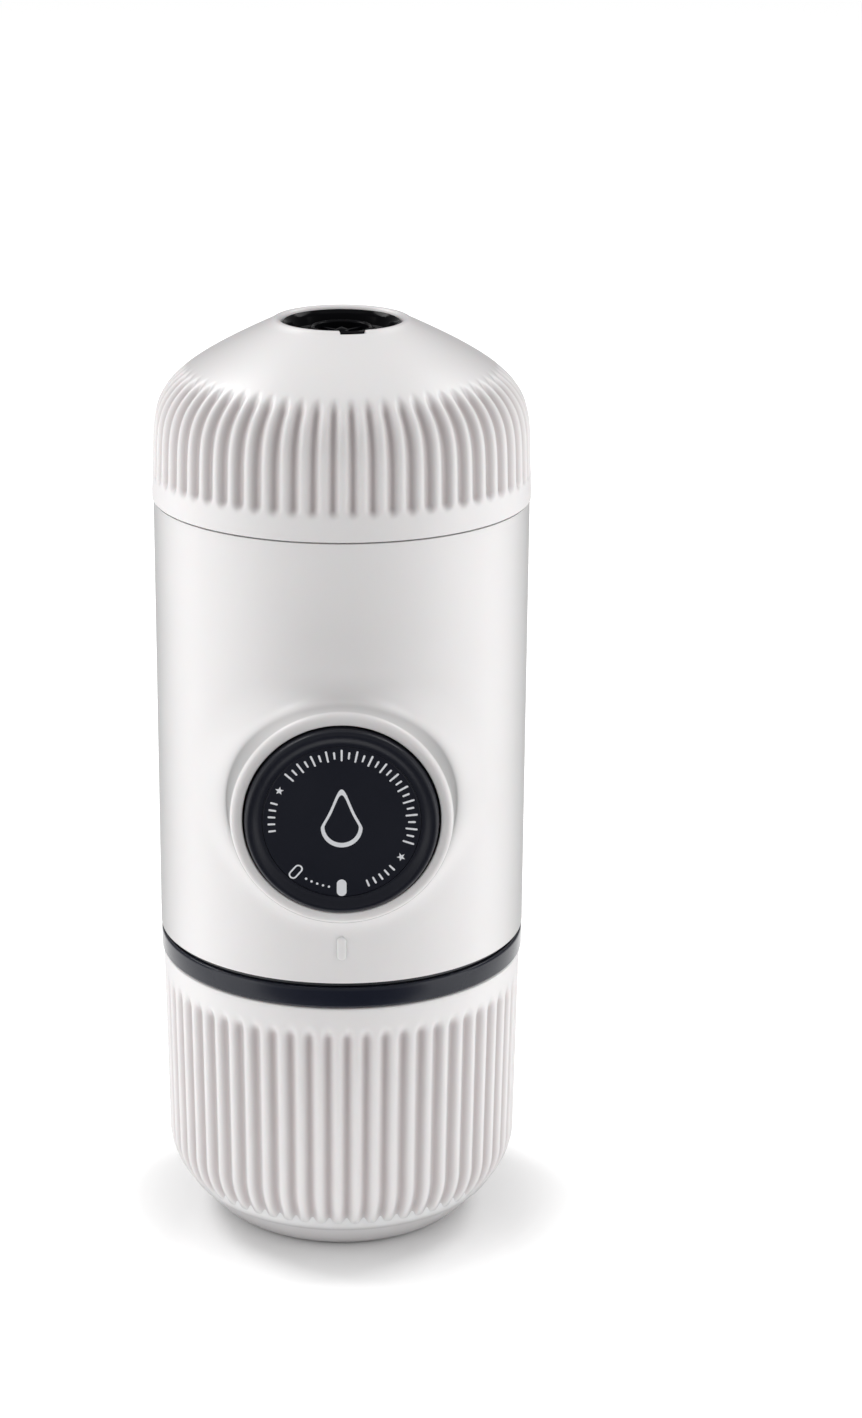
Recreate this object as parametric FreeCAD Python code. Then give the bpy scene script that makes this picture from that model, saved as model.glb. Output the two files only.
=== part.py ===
"""Handheld manual espresso maker, standing on its drinking cup with the coffee outlet on top.

A hand-pumped brewer in one upright stack: a domed, ribbed outlet head screws on a smooth body, a knob
in front of the body drives a horizontal pump, and a smoked water tank screws on below inside a
ribbed drinking cup.  Millimetres, +Z up, the knob towards -Y, the origin in the middle of the foot.
"""

import FreeCAD
import Part
import math
import os

V = FreeCAD.Vector
AXIS_Z = V(0, 0, 1)
AXIS_Y = V(0, 1, 0)

# Driving sizes
TOTAL_HEIGHT = 156.0
BODY_RADIUS = 31.0            # at the top of the body shell
BODY_FOOT_RADIUS = 30.89      # at its lower edge, after moulding draft
WALL = 2.1

# Levels up the stack
CUP_RIM_Z = 47.55
BAND_LOW_Z = 47.72            # dark collar of the tank
BAND_HIGH_Z = 51.3
BODY_LOW_Z = 52.15
BODY_HIGH_Z = 126.4
HEAD_LOW_Z = 126.65
KNOB_Z = 83.3

# Drinking cup
CUP_RIM_RADIUS = 30.54
CUP_SHOULDER_RADIUS = 29.95
CUP_SHOULDER_Z = 14.5
CUP_BEND = 11.7               # radius of the bend above the foot
CUP_TURN_DEG = 40.0           # how far that bend turns from upright
CUP_FLOOR_Z = 2.6
CUP_MOUTH_RADIUS = 28.3
CUP_EDGE = 1.3                # rounding at the edge of the foot
CUP_RIBS = 60
CUP_RIB_PHASE_DEG = 1.75

# Outlet head
HEAD_LOW_RADIUS = 31.24
HEAD_BEND_RADIUS = 31.05
HEAD_BEND_Z = 131.8
HEAD_LIP_RADIUS = 11.54
HEAD_LIP_Z = 155.6
OUTLET_RADIUS = 9.8
HEAD_RIBS = 62
HEAD_RIB_PHASE_DEG = -2.54
NOTCH_DEG = 9.5               # where the nozzle's tab shows, round from the front

# Ribs are what stands between V-shaped flutes
FLUTE_DEPTH = 0.85
FLUTE_HALF_WIDTH = 0.95
FLUTE_REACH = 0.7             # how far the cutter stands out of the surface

# Screw joints: four starts, so three quarters of a turn gives 9 mm
COLLAR_TOP_Z = 134.5
HEAD_THREAD_RADIUS = 28.9
BREW_THREAD_RADIUS = 28.2
TANK_COLLAR_LOW_Z = 43.2
TANK_BORE_RADIUS = 26.1
MOUNT_THREAD_RADIUS = 25.5

# Core of the body
CORE_RADIUS = 28.6
SHELL_BORE_RADIUS = 28.9
SHELL_RIM_RADIUS = 28.35
BLOCK_LOW_Z = 57.5
BLOCK_HIGH_Z = 110.0
BREW_DECK_Z = 112.5
TANK_DECK_Z = 53.0
SOCKET_RADIUS = 23.8
WELL_RADIUS = 22.5

# Pump, all along the knob's axis
STROKE = 25.0
KNOB_RADIUS = 15.53
KNOB_FRONT_Y = -40.0
KNOB_BACK_Y = -35.0
FACE_RADIUS = 12.6
FACE_Y = -39.4
BOSS_FRONT_Y = -38.6
BOSS_RADIUS = 17.7
BOSS_EDGE = 1.2
BOSS_BLEND = 3.2              # radius of the hollow blend from the boss to the body
BOSS_BORE_RADIUS = 16.0
SLEEVE_RADIUS = 13.6
SLEEVE_BORE_RADIUS = 11.8
GUIDE_BACK_Y = -20.4
BORE_FLOOR_Y = 8.5
LUG_RADIUS = 15.1
LUG_LENGTH = 2.0
PUMP_BORE_RADIUS = 6.0
PUMP_TUBE_RADIUS = 9.0
PUMP_FLANGE_RADIUS = 12.5
PLUNGER_RADIUS = 5.6
PLUNGER_TIP_Y = 17.5
PORT_Y = 18.0
PORT_RADIUS = 1.2
LINER_BACK_Y = 19.5
VALVE_POCKET_RADIUS = 4.0
OUTLET_SEAT_Z = 96.2
BALL_RADIUS = 2.4

# Brewing parts
BASKET_RADIUS = 20.6
BASKET_WALL = 0.6
BASKET_TOP_Z = 134.0
BASKET_LOW_Z = 115.1
SCOOP_RADIUS = 19.5
SCOOP_WALL = 1.2
SCOOP_TOP_Z = 132.9
GASKET_HIGH_Z = 115.0


def point(r, z):
    """A point of an upright profile, in the XZ plane."""
    return V(r, 0, z)


def outline(points):
    """The closed wire through points, in straight runs."""
    return Part.makePolygon(list(points) + [points[0]])


def turned(points):
    """A solid of revolution about Z from (radius, z) corners."""
    face = Part.Face(outline([point(r, z) for r, z in points]))
    return face.revolve(V(0, 0, 0), AXIS_Z, 360)


def turned_edges(edges):
    """A solid of revolution about Z from a closed chain of edges."""
    return Part.Face(Part.Wire(edges)).revolve(V(0, 0, 0), AXIS_Z, 360)


def across(points):
    """A solid of revolution about the knob's axis from (radius, y) corners."""
    corners = [V(0, y, KNOB_Z + r) for r, y in points]
    return Part.Face(outline(corners)).revolve(V(0, 0, KNOB_Z), AXIS_Y, 360)


def ring(outer, inner, low, high):
    """A flat-ended tube about Z."""
    return turned([(inner, low), (outer, low), (outer, high), (inner, high)])


def cross_ring(outer, inner, front, back):
    """A flat-ended tube about the knob's axis."""
    return across([(inner, front), (outer, front), (outer, back), (inner, back)])


def rod(radius, low, high, x=0.0, y=0.0):
    """An upright cylinder."""
    return Part.makeCylinder(radius, high - low, V(x, y, low), AXIS_Z)


def cross_rod(radius, front, back, x=0.0, z=KNOB_Z):
    """A cylinder along Y."""
    return Part.makeCylinder(radius, back - front, V(x, front, z), AXIS_Y)


def about_z(shape, degrees):
    """A copy turned about the upright axis."""
    copy = shape.copy()
    copy.rotate(V(0, 0, 0), AXIS_Z, degrees)
    return copy


def line(a, b):
    """A straight edge."""
    return Part.LineSegment(a, b).toShape()


def arc(a, mid, b):
    """A round edge through three points."""
    return Part.Arc(a, mid, b).toShape()


def flute(path):
    """One V-shaped cutter along a path of (radius, z, outward r, outward z) stations in the front plane."""
    sections = []
    for r, z, out_r, out_z in path:
        apex = V(0, -r, z)
        lift = FLUTE_DEPTH + FLUTE_REACH
        half = FLUTE_HALF_WIDTH * lift / FLUTE_DEPTH
        rim = apex + V(0, -out_r * lift, out_z * lift)
        sections.append(outline([apex, rim + V(half, 0, 0), rim - V(half, 0, 0)]))
    return Part.makeLoft(sections, True, True)


def fluted(solid, path, count, phase):
    """Cuts a ring of equal flutes into a solid, leaving ribs between them."""
    cutter = flute(path)
    ring_of_cutters = [about_z(cutter, phase + 360.0 * i / count) for i in range(count)]
    return solid.cut(Part.makeCompound(ring_of_cutters))


def coil(radius, wire, low, high):
    """The sleeve that an upright spring fills, wire being half its wire's thickness."""
    return ring(radius + wire, radius - wire, low, high)


def holes(radius, low, high, rings):
    """Upright drills for a perforated plate: a middle one and rings of (radius, count)."""
    drills = [rod(radius, low, high)]
    for pitch, count in rings:
        for i in range(count):
            a = 2 * math.pi * i / count
            drills.append(rod(radius, low, high, pitch * math.cos(a), pitch * math.sin(a)))
    return Part.makeCompound(drills)


def drinking_cup():
    """The ribbed cup that the maker stands on."""
    turn = math.radians(CUP_TURN_DEG)
    centre = CUP_SHOULDER_RADIUS - CUP_BEND
    bend_end = point(centre + CUP_BEND * math.cos(turn), CUP_SHOULDER_Z - CUP_BEND * math.sin(turn))
    bend_mid = point(
        centre + CUP_BEND * math.cos(turn / 2), CUP_SHOULDER_Z - CUP_BEND * math.sin(turn / 2)
    )
    # the straight flank below the bend meets the foot's plane at this radius
    flank_foot = bend_end.x - bend_end.z * math.tan(turn)
    tangent = CUP_EDGE * math.tan((math.pi / 2 - turn) / 2)
    edge_low = point(flank_foot - tangent, 0)
    edge_high = point(flank_foot + tangent * math.sin(turn), tangent * math.cos(turn))
    edge_mid_angle = (math.pi / 2 + turn) / 2
    edge_mid = point(
        edge_low.x + CUP_EDGE * math.cos(edge_mid_angle), CUP_EDGE * (1 - math.sin(edge_mid_angle))
    )
    floor_corner = 8.0
    inner_low_radius = 27.7
    edges = [
        line(point(0, 0), edge_low),
        arc(edge_low, edge_mid, edge_high),
        line(edge_high, bend_end),
        arc(bend_end, bend_mid, point(CUP_SHOULDER_RADIUS, CUP_SHOULDER_Z)),
        line(point(CUP_SHOULDER_RADIUS, CUP_SHOULDER_Z), point(CUP_RIM_RADIUS, CUP_RIM_Z - 0.5)),
        arc(
            point(CUP_RIM_RADIUS, CUP_RIM_Z - 0.5),
            point(CUP_RIM_RADIUS - 0.15, CUP_RIM_Z - 0.15),
            point(CUP_RIM_RADIUS - 0.5, CUP_RIM_Z),
        ),
        line(point(CUP_RIM_RADIUS - 0.5, CUP_RIM_Z), point(CUP_MOUTH_RADIUS, CUP_RIM_Z)),
        line(point(CUP_MOUTH_RADIUS, CUP_RIM_Z), point(inner_low_radius, CUP_FLOOR_Z + floor_corner)),
        arc(
            point(inner_low_radius, CUP_FLOOR_Z + floor_corner),
            point(
                inner_low_radius - floor_corner * (1 - math.cos(math.pi / 4)),
                CUP_FLOOR_Z + floor_corner * (1 - math.sin(math.pi / 4)),
            ),
            point(inner_low_radius - floor_corner, CUP_FLOOR_Z),
        ),
        line(point(inner_low_radius - floor_corner, CUP_FLOOR_Z), point(0, CUP_FLOOR_Z)),
        line(point(0, CUP_FLOOR_Z), point(0, 0)),
    ]
    cup = turned_edges(edges)
    high, low = 44.4, CUP_SHOULDER_Z
    slope = (CUP_RIM_RADIUS - CUP_SHOULDER_RADIUS) / (CUP_RIM_Z - CUP_SHOULDER_Z)
    path = [
        (CUP_RIM_RADIUS + 0.3, high + 0.9, 1, 0),
        (CUP_SHOULDER_RADIUS + slope * (high - 1.8 - low) - FLUTE_DEPTH, high - 1.8, 1, 0),
        (CUP_SHOULDER_RADIUS - FLUTE_DEPTH, low, 1, 0),
    ]
    for share in (0.4, 0.75):
        a = turn * share
        deep = CUP_BEND - FLUTE_DEPTH
        path.append(
            (centre + deep * math.cos(a), low - deep * math.sin(a), math.cos(a), -math.sin(a))
        )
    out = (math.cos(turn), -math.sin(turn))
    path.append((bend_end.x + 0.35 * out[0], bend_end.z + 0.35 * out[1], out[0], out[1]))
    return fluted(cup, path, CUP_RIBS, CUP_RIB_PHASE_DEG)


# The head's shoulder: poles of one Bezier curve from the upright skirt to the cone below the lip
HEAD_POLES = [
    (HEAD_BEND_RADIUS, HEAD_BEND_Z),
    (30.6, 143.88),
    (32.07, 145.7),
    (HEAD_LIP_RADIUS, HEAD_LIP_Z),
]


def shoulder_point(t):
    """(radius, z, outward r, outward z) on the head's shoulder curve at t from 0 to 1."""
    weights = [(1 - t) ** 3, 3 * (1 - t) ** 2 * t, 3 * (1 - t) * t * t, t**3]
    r = sum(w * p[0] for w, p in zip(weights, HEAD_POLES))
    z = sum(w * p[1] for w, p in zip(weights, HEAD_POLES))
    steps = [(1 - t) ** 2, 2 * (1 - t) * t, t * t]
    dr = sum(s * (HEAD_POLES[i + 1][0] - HEAD_POLES[i][0]) for i, s in enumerate(steps))
    dz = sum(s * (HEAD_POLES[i + 1][1] - HEAD_POLES[i][1]) for i, s in enumerate(steps))
    length = math.hypot(dr, dz)
    return r, z, dz / length, -dr / length


def outlet_head():
    """The domed, ribbed head, its opening and the pocket that the funnel snaps into."""
    curve = Part.BezierCurve()
    curve.setPoles([point(r, z) for r, z in HEAD_POLES])
    lip_high = point(10.9, TOTAL_HEIGHT)
    opening_edge = point(OUTLET_RADIUS, 155.45)
    pocket_radius, pocket_high = 27.6, 139.2
    edges = [
        line(point(HEAD_THREAD_RADIUS, HEAD_LOW_Z), point(HEAD_LOW_RADIUS, HEAD_LOW_Z)),
        line(point(HEAD_LOW_RADIUS, HEAD_LOW_Z), point(HEAD_BEND_RADIUS, HEAD_BEND_Z)),
        curve.toShape(),
        arc(point(HEAD_LIP_RADIUS, HEAD_LIP_Z), lip_high, opening_edge),
        line(opening_edge, point(OUTLET_RADIUS, 149.4)),
        line(point(OUTLET_RADIUS, 149.4), point(12.0, 149.4)),
        line(point(12.0, 149.4), point(13.0, 151.9)),
        line(point(13.0, 151.9), point(24.0, 146.2)),
        line(point(24.0, 146.2), point(pocket_radius, pocket_high + 2.2)),
        line(point(pocket_radius, pocket_high + 2.2), point(pocket_radius, 135.8)),
        line(point(pocket_radius, 135.8), point(HEAD_THREAD_RADIUS, 135.8)),
        line(point(HEAD_THREAD_RADIUS, 135.8), point(HEAD_THREAD_RADIUS, HEAD_LOW_Z)),
    ]
    head = turned_edges(edges)
    path = [
        (HEAD_LOW_RADIUS + 0.35, 129.6, 1, 0),
        (HEAD_BEND_RADIUS - FLUTE_DEPTH + 0.05, 132.3, 1, 0),
    ]
    for t in (0.35, 0.5, 0.62, 0.70):
        r, z, out_r, out_z = shoulder_point(t)
        path.append((r - FLUTE_DEPTH * out_r, z - FLUTE_DEPTH * out_z, out_r, out_z))
    r, z, out_r, out_z = shoulder_point(0.78)
    path.append((r + 0.25 * out_r, z + 0.25 * out_z, out_r, out_z))
    head = fluted(head, path, HEAD_RIBS, HEAD_RIB_PHASE_DEG)
    return head.cut(nozzle_tab(0.12))


def nozzle_tab(clearance=0.0):
    """The finger tab on the nozzle's rim, or the notch for it in the head's lip."""
    half, reach, low, high = 2.1, 10.75, 153.6, 155.2
    if clearance:
        high = TOTAL_HEIGHT + 1
    tab = Part.makeBox(
        2 * (half + clearance),
        reach - 8.4 + clearance,
        high - low + clearance,
        V(-half - clearance, -reach - clearance, low - clearance),
    )
    return about_z(tab, NOTCH_DEG)


def body_shell():
    """The smooth casing with the blended boss that the knob sits in, and the raised index mark."""
    skin = turned([
        (0, BODY_LOW_Z),
        (BODY_FOOT_RADIUS, BODY_LOW_Z),
        (BODY_RADIUS, BODY_HIGH_Z),
        (0, BODY_HIGH_Z),
    ])
    boss = across([
        (0, BOSS_FRONT_Y),
        (BOSS_RADIUS - BOSS_EDGE, BOSS_FRONT_Y),
        (BOSS_RADIUS, BOSS_FRONT_Y + BOSS_EDGE),
        (BOSS_RADIUS + 1.6, -20.0),
        (0, -20.0),
    ])
    solid = skin.fuse(boss).Solids[0]
    solid = solid.makeFillet(BOSS_BLEND, [e for e in solid.Edges if is_boss_foot(e)])
    inside = turned([
        (0, BODY_LOW_Z - 1),
        (SHELL_BORE_RADIUS, BODY_LOW_Z - 1),
        (SHELL_BORE_RADIUS, BODY_HIGH_Z - 2.4),
        (SHELL_RIM_RADIUS, BODY_HIGH_Z - 2.4),
        (SHELL_RIM_RADIUS, BODY_HIGH_Z + 1),
        (0, BODY_HIGH_Z + 1),
    ])
    solid = solid.cut(inside).cut(cross_rod(BOSS_BORE_RADIUS, KNOB_FRONT_Y - 1, -18.0))
    return solid.fuse(index_mark())


def index_mark():
    """The raised pill under the knob that its marks are read against."""
    low, high, half, proud = 56.2, 60.4, 0.8, 0.35
    mark = Part.makeBox(2 * half, 2.0, high - low, V(-half, -BODY_FOOT_RADIUS - proud, low))
    corners = [e for e in mark.Edges if abs(e.tangentAt(e.FirstParameter).y) > 0.9]
    return mark.makeFillet(half - 0.05, corners)


def is_boss_foot(edge):
    """True for the curve where the boss meets the round of the body."""
    if edge.Length < 20:
        return False
    step = (edge.LastParameter - edge.FirstParameter) / 8
    spread = [edge.valueAt(edge.FirstParameter + step * k) for k in range(9)]
    on_body = all(abs(math.hypot(p.x, p.y) - BODY_RADIUS) < 0.15 for p in spread)
    near_boss = all(math.hypot(p.x, p.z - KNOB_Z) < BOSS_RADIUS + 3 for p in spread)
    return on_body and near_boss


def screw_places(reach_x=16.9, reach_y=9.5):
    """The four corners where the core's screws stand."""
    return [(sx * reach_x, sy * reach_y) for sx in (-1, 1) for sy in (-1, 1)]


def pump_block():
    """The moulded core that carries the pump, its valves and both collars."""
    block = rod(CORE_RADIUS, BLOCK_LOW_Z, BLOCK_HIGH_Z)
    cuts = [
        cross_rod(17.6, -CORE_RADIUS - 1, GUIDE_BACK_Y),
        cross_rod(15.4, GUIDE_BACK_Y, BORE_FLOOR_Y),
        cross_rod(PUMP_TUBE_RADIUS + 0.05, BORE_FLOOR_Y, 16.5),
        cross_rod(PUMP_FLANGE_RADIUS + 0.1, 16.5, CORE_RADIUS + 1),
        rod(VALVE_POCKET_RADIUS, BLOCK_LOW_Z, 69.0, y=PORT_Y),
        rod(PORT_RADIUS, 69.0, 72.0, y=PORT_Y),
        rod(PORT_RADIUS, 94.0, OUTLET_SEAT_Z, y=PORT_Y),
        rod(VALVE_POCKET_RADIUS, OUTLET_SEAT_Z, BLOCK_HIGH_Z, y=PORT_Y),
        Part.makeBox(5.0, 14.0, 1.6, V(-2.5, 4.0, BLOCK_HIGH_Z - 1.6)),
        Part.makeBox(2.4, 16.0, 1.2, V(-1.2, -29.5, BLOCK_LOW_Z)),
    ]
    for x, y in screw_places():
        cuts.append(rod(1.25, BLOCK_LOW_Z, 66.0, x, y))
        cuts.append(rod(1.25, 98.0, BLOCK_HIGH_Z, x, y))
    for x, y in screw_places(8.0, 6.4):
        cuts.append(cross_rod(1.25, 9.6, 17.0, x, KNOB_Z + y))
    # side pockets between the moulded walls
    for side in (-1, 1):
        pocket = Part.makeBox(9.0, 22.0, 20.0, V(-4.5 + side * 25.0, -4.0, KNOB_Z - 10))
        cuts.append(pocket)
    return block.cut(Part.makeCompound(cuts))


def brew_collar():
    """The threaded collar on top of the core, with the socket for the filter basket."""
    collar = turned([
        (0, BLOCK_HIGH_Z),
        (28.75, BLOCK_HIGH_Z),
        (28.75, BODY_HIGH_Z - 2.5),
        (BREW_THREAD_RADIUS, BODY_HIGH_Z - 2.5),
        (BREW_THREAD_RADIUS, COLLAR_TOP_Z - 0.8),
        (BREW_THREAD_RADIUS - 0.8, COLLAR_TOP_Z),
        (SOCKET_RADIUS + 0.5, COLLAR_TOP_Z),
        (SOCKET_RADIUS, COLLAR_TOP_Z - 0.5),
        (SOCKET_RADIUS, BREW_DECK_Z),
        (17.5, BREW_DECK_Z),
        (17.5, BREW_DECK_Z - 1.0),
        (0, BREW_DECK_Z - 1.0),
    ])
    cuts = [rod(1.8, BLOCK_HIGH_Z - 1, BREW_DECK_Z, y=6.5), rod(1.0, BLOCK_HIGH_Z, BREW_DECK_Z)]
    for x, y in screw_places():
        cuts.append(rod(1.25, BLOCK_HIGH_Z, BREW_DECK_Z, x, y))
        cuts.append(rod(2.25, BREW_DECK_Z - 1.6, BREW_DECK_Z + 1, x, y))
    boss = ring(3.2, 1.0, BREW_DECK_Z - 1.0, BREW_DECK_Z + 0.5)
    return collar.cut(Part.makeCompound(cuts)).fuse(boss)


def tank_mount():
    """The threaded collar below the core, which takes the tank, and the flange that holds the shell."""
    mount = turned([
        (0, TANK_DECK_Z),
        (WELL_RADIUS, TANK_DECK_Z),
        (WELL_RADIUS, TANK_COLLAR_LOW_Z),
        (MOUNT_THREAD_RADIUS - 0.7, TANK_COLLAR_LOW_Z),
        (MOUNT_THREAD_RADIUS, TANK_COLLAR_LOW_Z + 0.7),
        (MOUNT_THREAD_RADIUS, 52.45),
        (28.3, 52.45),
        (28.3, 51.45),
        (30.15, 51.45),
        (30.15, BODY_LOW_Z),
        (28.75, BODY_LOW_Z),
        (28.75, BLOCK_LOW_Z),
        (0, BLOCK_LOW_Z),
    ])
    cuts = [
        rod(1.7, TANK_DECK_Z - 1, BLOCK_LOW_Z, y=PORT_Y - 0.8),
        rod(1.3, TANK_DECK_Z - 1, BLOCK_LOW_Z, y=-14.0),
    ]
    cuts += [rod(1.25, TANK_DECK_Z, BLOCK_LOW_Z, x, y) for x, y in screw_places()]
    return mount.cut(Part.makeCompound(cuts))


def screws(places, shank, head, low_head, low_shank, high):
    """Upright screws with their heads down at low_head, as separate solids in one node."""
    made = []
    for x, y in places:
        body = rod(shank, low_shank, high, x, y).fuse(rod(head, low_head, low_shank, x, y))
        corners = [math.radians(60 * k) for k in range(7)]
        socket = Part.makePolygon([
            V(x + 1.25 * math.cos(a), y + 1.25 * math.sin(a), low_head) for a in corners
        ])
        made.append(body.cut(Part.Face(socket).extrude(V(0, 0, 0.9))))
    return Part.makeCompound(made)


def tank_mount_screws():
    """Four screws that hold the tank mount to the core."""
    return screws(screw_places(), 1.2, 2.1, TANK_DECK_Z - 1.7, TANK_DECK_Z, 65.6)


def brew_collar_screws():
    """Four screws, sunk in the deck, that hold the brew collar to the core."""
    made = screws(screw_places(), 1.2, 2.1, 0, 1.5, 13.6)
    made.rotate(V(0, 0, 0), V(1, 0, 0), 180)
    made.translate(V(0, 0, BREW_DECK_Z - 0.05))
    return made


def pump_tube():
    """The pump's liner with its rear flange and the two ports through it."""
    tube = across([
        (PUMP_BORE_RADIUS, -14.5),
        (PUMP_TUBE_RADIUS, -14.5),
        (PUMP_TUBE_RADIUS, 16.55),
        (PUMP_FLANGE_RADIUS, 16.55),
        (PUMP_FLANGE_RADIUS, LINER_BACK_Y),
        (PUMP_BORE_RADIUS, LINER_BACK_Y),
    ])
    cuts = [rod(PORT_RADIUS, KNOB_Z - PUMP_FLANGE_RADIUS - 1, KNOB_Z + PUMP_FLANGE_RADIUS + 1, y=PORT_Y)]
    cuts += [cross_rod(1.3, 9.6, LINER_BACK_Y, x, KNOB_Z + z) for x, z in screw_places(8.0, 6.4)]
    return tube.cut(Part.makeCompound(cuts))


def pump_cap():
    """The plate that closes the pump behind."""
    cap = across([
        (0, LINER_BACK_Y - 0.5),
        (4.0, LINER_BACK_Y - 0.5),
        (4.0, LINER_BACK_Y + 0.9),
        (5.9, LINER_BACK_Y + 0.9),
        (5.9, LINER_BACK_Y),
        (PUMP_FLANGE_RADIUS, LINER_BACK_Y),
        (PUMP_FLANGE_RADIUS, LINER_BACK_Y + 3.4),
        (0, LINER_BACK_Y + 3.4),
    ])
    cuts = [
        cross_rod(1.3, LINER_BACK_Y - 1, LINER_BACK_Y + 4, x, KNOB_Z + z)
        for x, z in screw_places(8.0, 6.4)
    ]
    return cap.cut(Part.makeCompound(cuts))


def pump_cap_seal():
    """The ring in the cap's groove, against the pump's bore."""
    return cross_ring(5.85, 4.05, LINER_BACK_Y - 0.45, LINER_BACK_Y + 0.85)


def pump_cap_screws():
    """Four screws through the cap and the liner's flange into the core."""
    back = LINER_BACK_Y + 3.4
    made = []
    for x, z in screw_places(8.0, 6.4):
        shank = cross_rod(1.2, 9.8, back, x, KNOB_Z + z)
        made.append(shank.fuse(cross_rod(2.1, back, back + 1.5, x, KNOB_Z + z)))
    return Part.makeCompound(made)


def guide_bush():
    """The ring in the boss that the pump's sleeve slides and turns in."""
    bush = across([
        (SLEEVE_RADIUS + 0.1, -34.0),
        (15.9, -34.0),
        (15.9, -22.4),
        (17.5, -22.4),
        (17.5, GUIDE_BACK_Y - 0.05),
        (SLEEVE_RADIUS + 0.1, GUIDE_BACK_Y - 0.05),
    ])
    return bush.cut(cross_ring(14.7, 13.0, -33.2, -31.6))


def guide_wiper():
    """The dust ring in the bush's groove."""
    return cross_ring(14.65, SLEEVE_RADIUS + 0.05, -33.15, -31.65)


def knob_cap():
    """The knob: a shallow dish with a rounded rim, a counterbore and its screw hole."""
    cap = across([
        (1.8, -36.6),
        (3.8, -36.6),
        (3.8, -38.7),
        (FACE_RADIUS + 0.1, -38.7),
        (FACE_RADIUS + 0.1, FACE_Y),
        (13.5, KNOB_FRONT_Y + 0.12),
        (14.0, KNOB_FRONT_Y),
        (14.6, KNOB_FRONT_Y),
        (15.25, KNOB_FRONT_Y + 0.35),
        (KNOB_RADIUS, KNOB_FRONT_Y + 1.1),
        (KNOB_RADIUS, KNOB_BACK_Y),
        (1.8, KNOB_BACK_Y),
    ])
    return cap


def knob_face():
    """The marked disc that covers the knob's screw."""
    back = -38.75
    return across([
        (0, FACE_Y),
        (FACE_RADIUS - 0.2, FACE_Y),
        (FACE_RADIUS, FACE_Y + 0.2),
        (FACE_RADIUS, back),
        (0, back),
    ])


def knob_screw():
    """The screw that joins the knob to the plunger."""
    screw = cross_rod(3.5, -38.6, -36.6).fuse(cross_rod(1.7, -36.6, -22.0))
    slot = Part.makeBox(5.6, 0.9, 0.9, V(-2.8, -38.6, KNOB_Z - 0.45))
    return screw.cut(slot)


def pump_sleeve():
    """The wide tube behind the knob, with the two lugs of its quarter-turn lock."""
    back = 6.8
    sleeve = cross_ring(SLEEVE_RADIUS, SLEEVE_BORE_RADIUS, KNOB_BACK_Y, back)
    lugs = cross_ring(LUG_RADIUS, SLEEVE_RADIUS - 0.5, back - LUG_LENGTH, back)
    lug_width = 8.0
    corner = V(-LUG_RADIUS - 1, -30.0, KNOB_Z - lug_width / 2)
    window = Part.makeBox(2 * LUG_RADIUS + 2, 60.0, lug_width, corner)
    return sleeve.fuse(lugs.common(window))


def plunger():
    """The pump's rod, with the groove for its seal."""
    rod_shape = across([
        (0, KNOB_BACK_Y),
        (PLUNGER_RADIUS, KNOB_BACK_Y),
        (PLUNGER_RADIUS, 13.0),
        (4.4, 13.0),
        (4.4, 16.0),
        (PLUNGER_RADIUS, 16.0),
        (PLUNGER_RADIUS, PLUNGER_TIP_Y - 0.6),
        (PLUNGER_RADIUS - 0.6, PLUNGER_TIP_Y),
        (0, PLUNGER_TIP_Y),
    ])
    return rod_shape.cut(cross_rod(1.75, KNOB_BACK_Y - 1, -21.5))


def plunger_seal():
    """The lip ring that seals the rod in the pump's bore."""
    return across([(4.45, 13.1), (5.7, 13.1), (5.97, 13.7), (5.97, 15.3), (5.7, 15.9), (4.45, 15.9)])


def spring_washer():
    """The slip washer that lets the knob turn on the spring."""
    return cross_ring(11.4, 7.2, KNOB_BACK_Y + 0.1, KNOB_BACK_Y + 0.9)


def return_spring():
    """The coil that pushes the knob out after each stroke."""
    spring = coil(10.35, 0.55, KNOB_BACK_Y + 0.95, BORE_FLOOR_Y - 0.05)
    spring.rotate(V(0, 0, 0), V(1, 0, 0), -90)
    spring.translate(V(0, 0, KNOB_Z))
    return spring


def valve_seat(low):
    """A ring with the cone that a valve ball closes on, its lower face at low."""
    seat = turned([(1.4, low), (3.95, low), (3.95, low + 3.0), (2.7, low + 3.0), (1.4, low + 1.7)])
    seat.translate(V(0, PORT_Y, 0))
    return seat


def valve_ball(low):
    """The ball at rest on the seat whose lower face is at low."""
    # the cone rises one for one, so a ball touches it where its skin slopes 45 degrees
    centre = low + 1.7 - 1.4 + BALL_RADIUS * math.sqrt(2) + 0.03
    return Part.makeSphere(BALL_RADIUS, V(0, PORT_Y, centre))


def valve_spring(low, high):
    """The small coil above a valve ball."""
    spring = coil(1.9, 0.28, low, high)
    spring.translate(V(0, PORT_Y, 0))
    return spring


def inlet_strainer():
    """The perforated cap over the water inlet, inside the tank's mouth."""
    y = PORT_Y - 1.8
    cap = turned([
        (0, 50.6),
        (4.6, 50.6),
        (5.2, 51.2),
        (5.2, TANK_DECK_Z),
        (4.4, TANK_DECK_Z),
        (4.4, 51.4),
        (0, 51.4),
    ])
    cap = cap.cut(holes(0.55, 50.0, 52.0, [(2.6, 6)]))
    cap.translate(V(0, y, 0))
    return cap


def vent_valve():
    """The soft umbrella that lets air into the tank as water leaves it."""
    valve = turned([
        (0, 52.0),
        (1.6, 51.9),
        (4.0, 52.5),
        (4.0, 52.95),
        (1.25, 52.95),
        (1.25, 56.6),
        (0, 57.2),
    ])
    valve.translate(V(0, -14.0, 0))
    return valve


def outlet_valve_plug():
    """The drilled plug that holds the outlet valve's spring."""
    low, high = 106.3, BLOCK_HIGH_Z - 1.7
    plug = turned([(1.5, low), (3.95, low), (3.95, high), (1.5, high)])
    plug.translate(V(0, PORT_Y, 0))
    return plug


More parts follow.
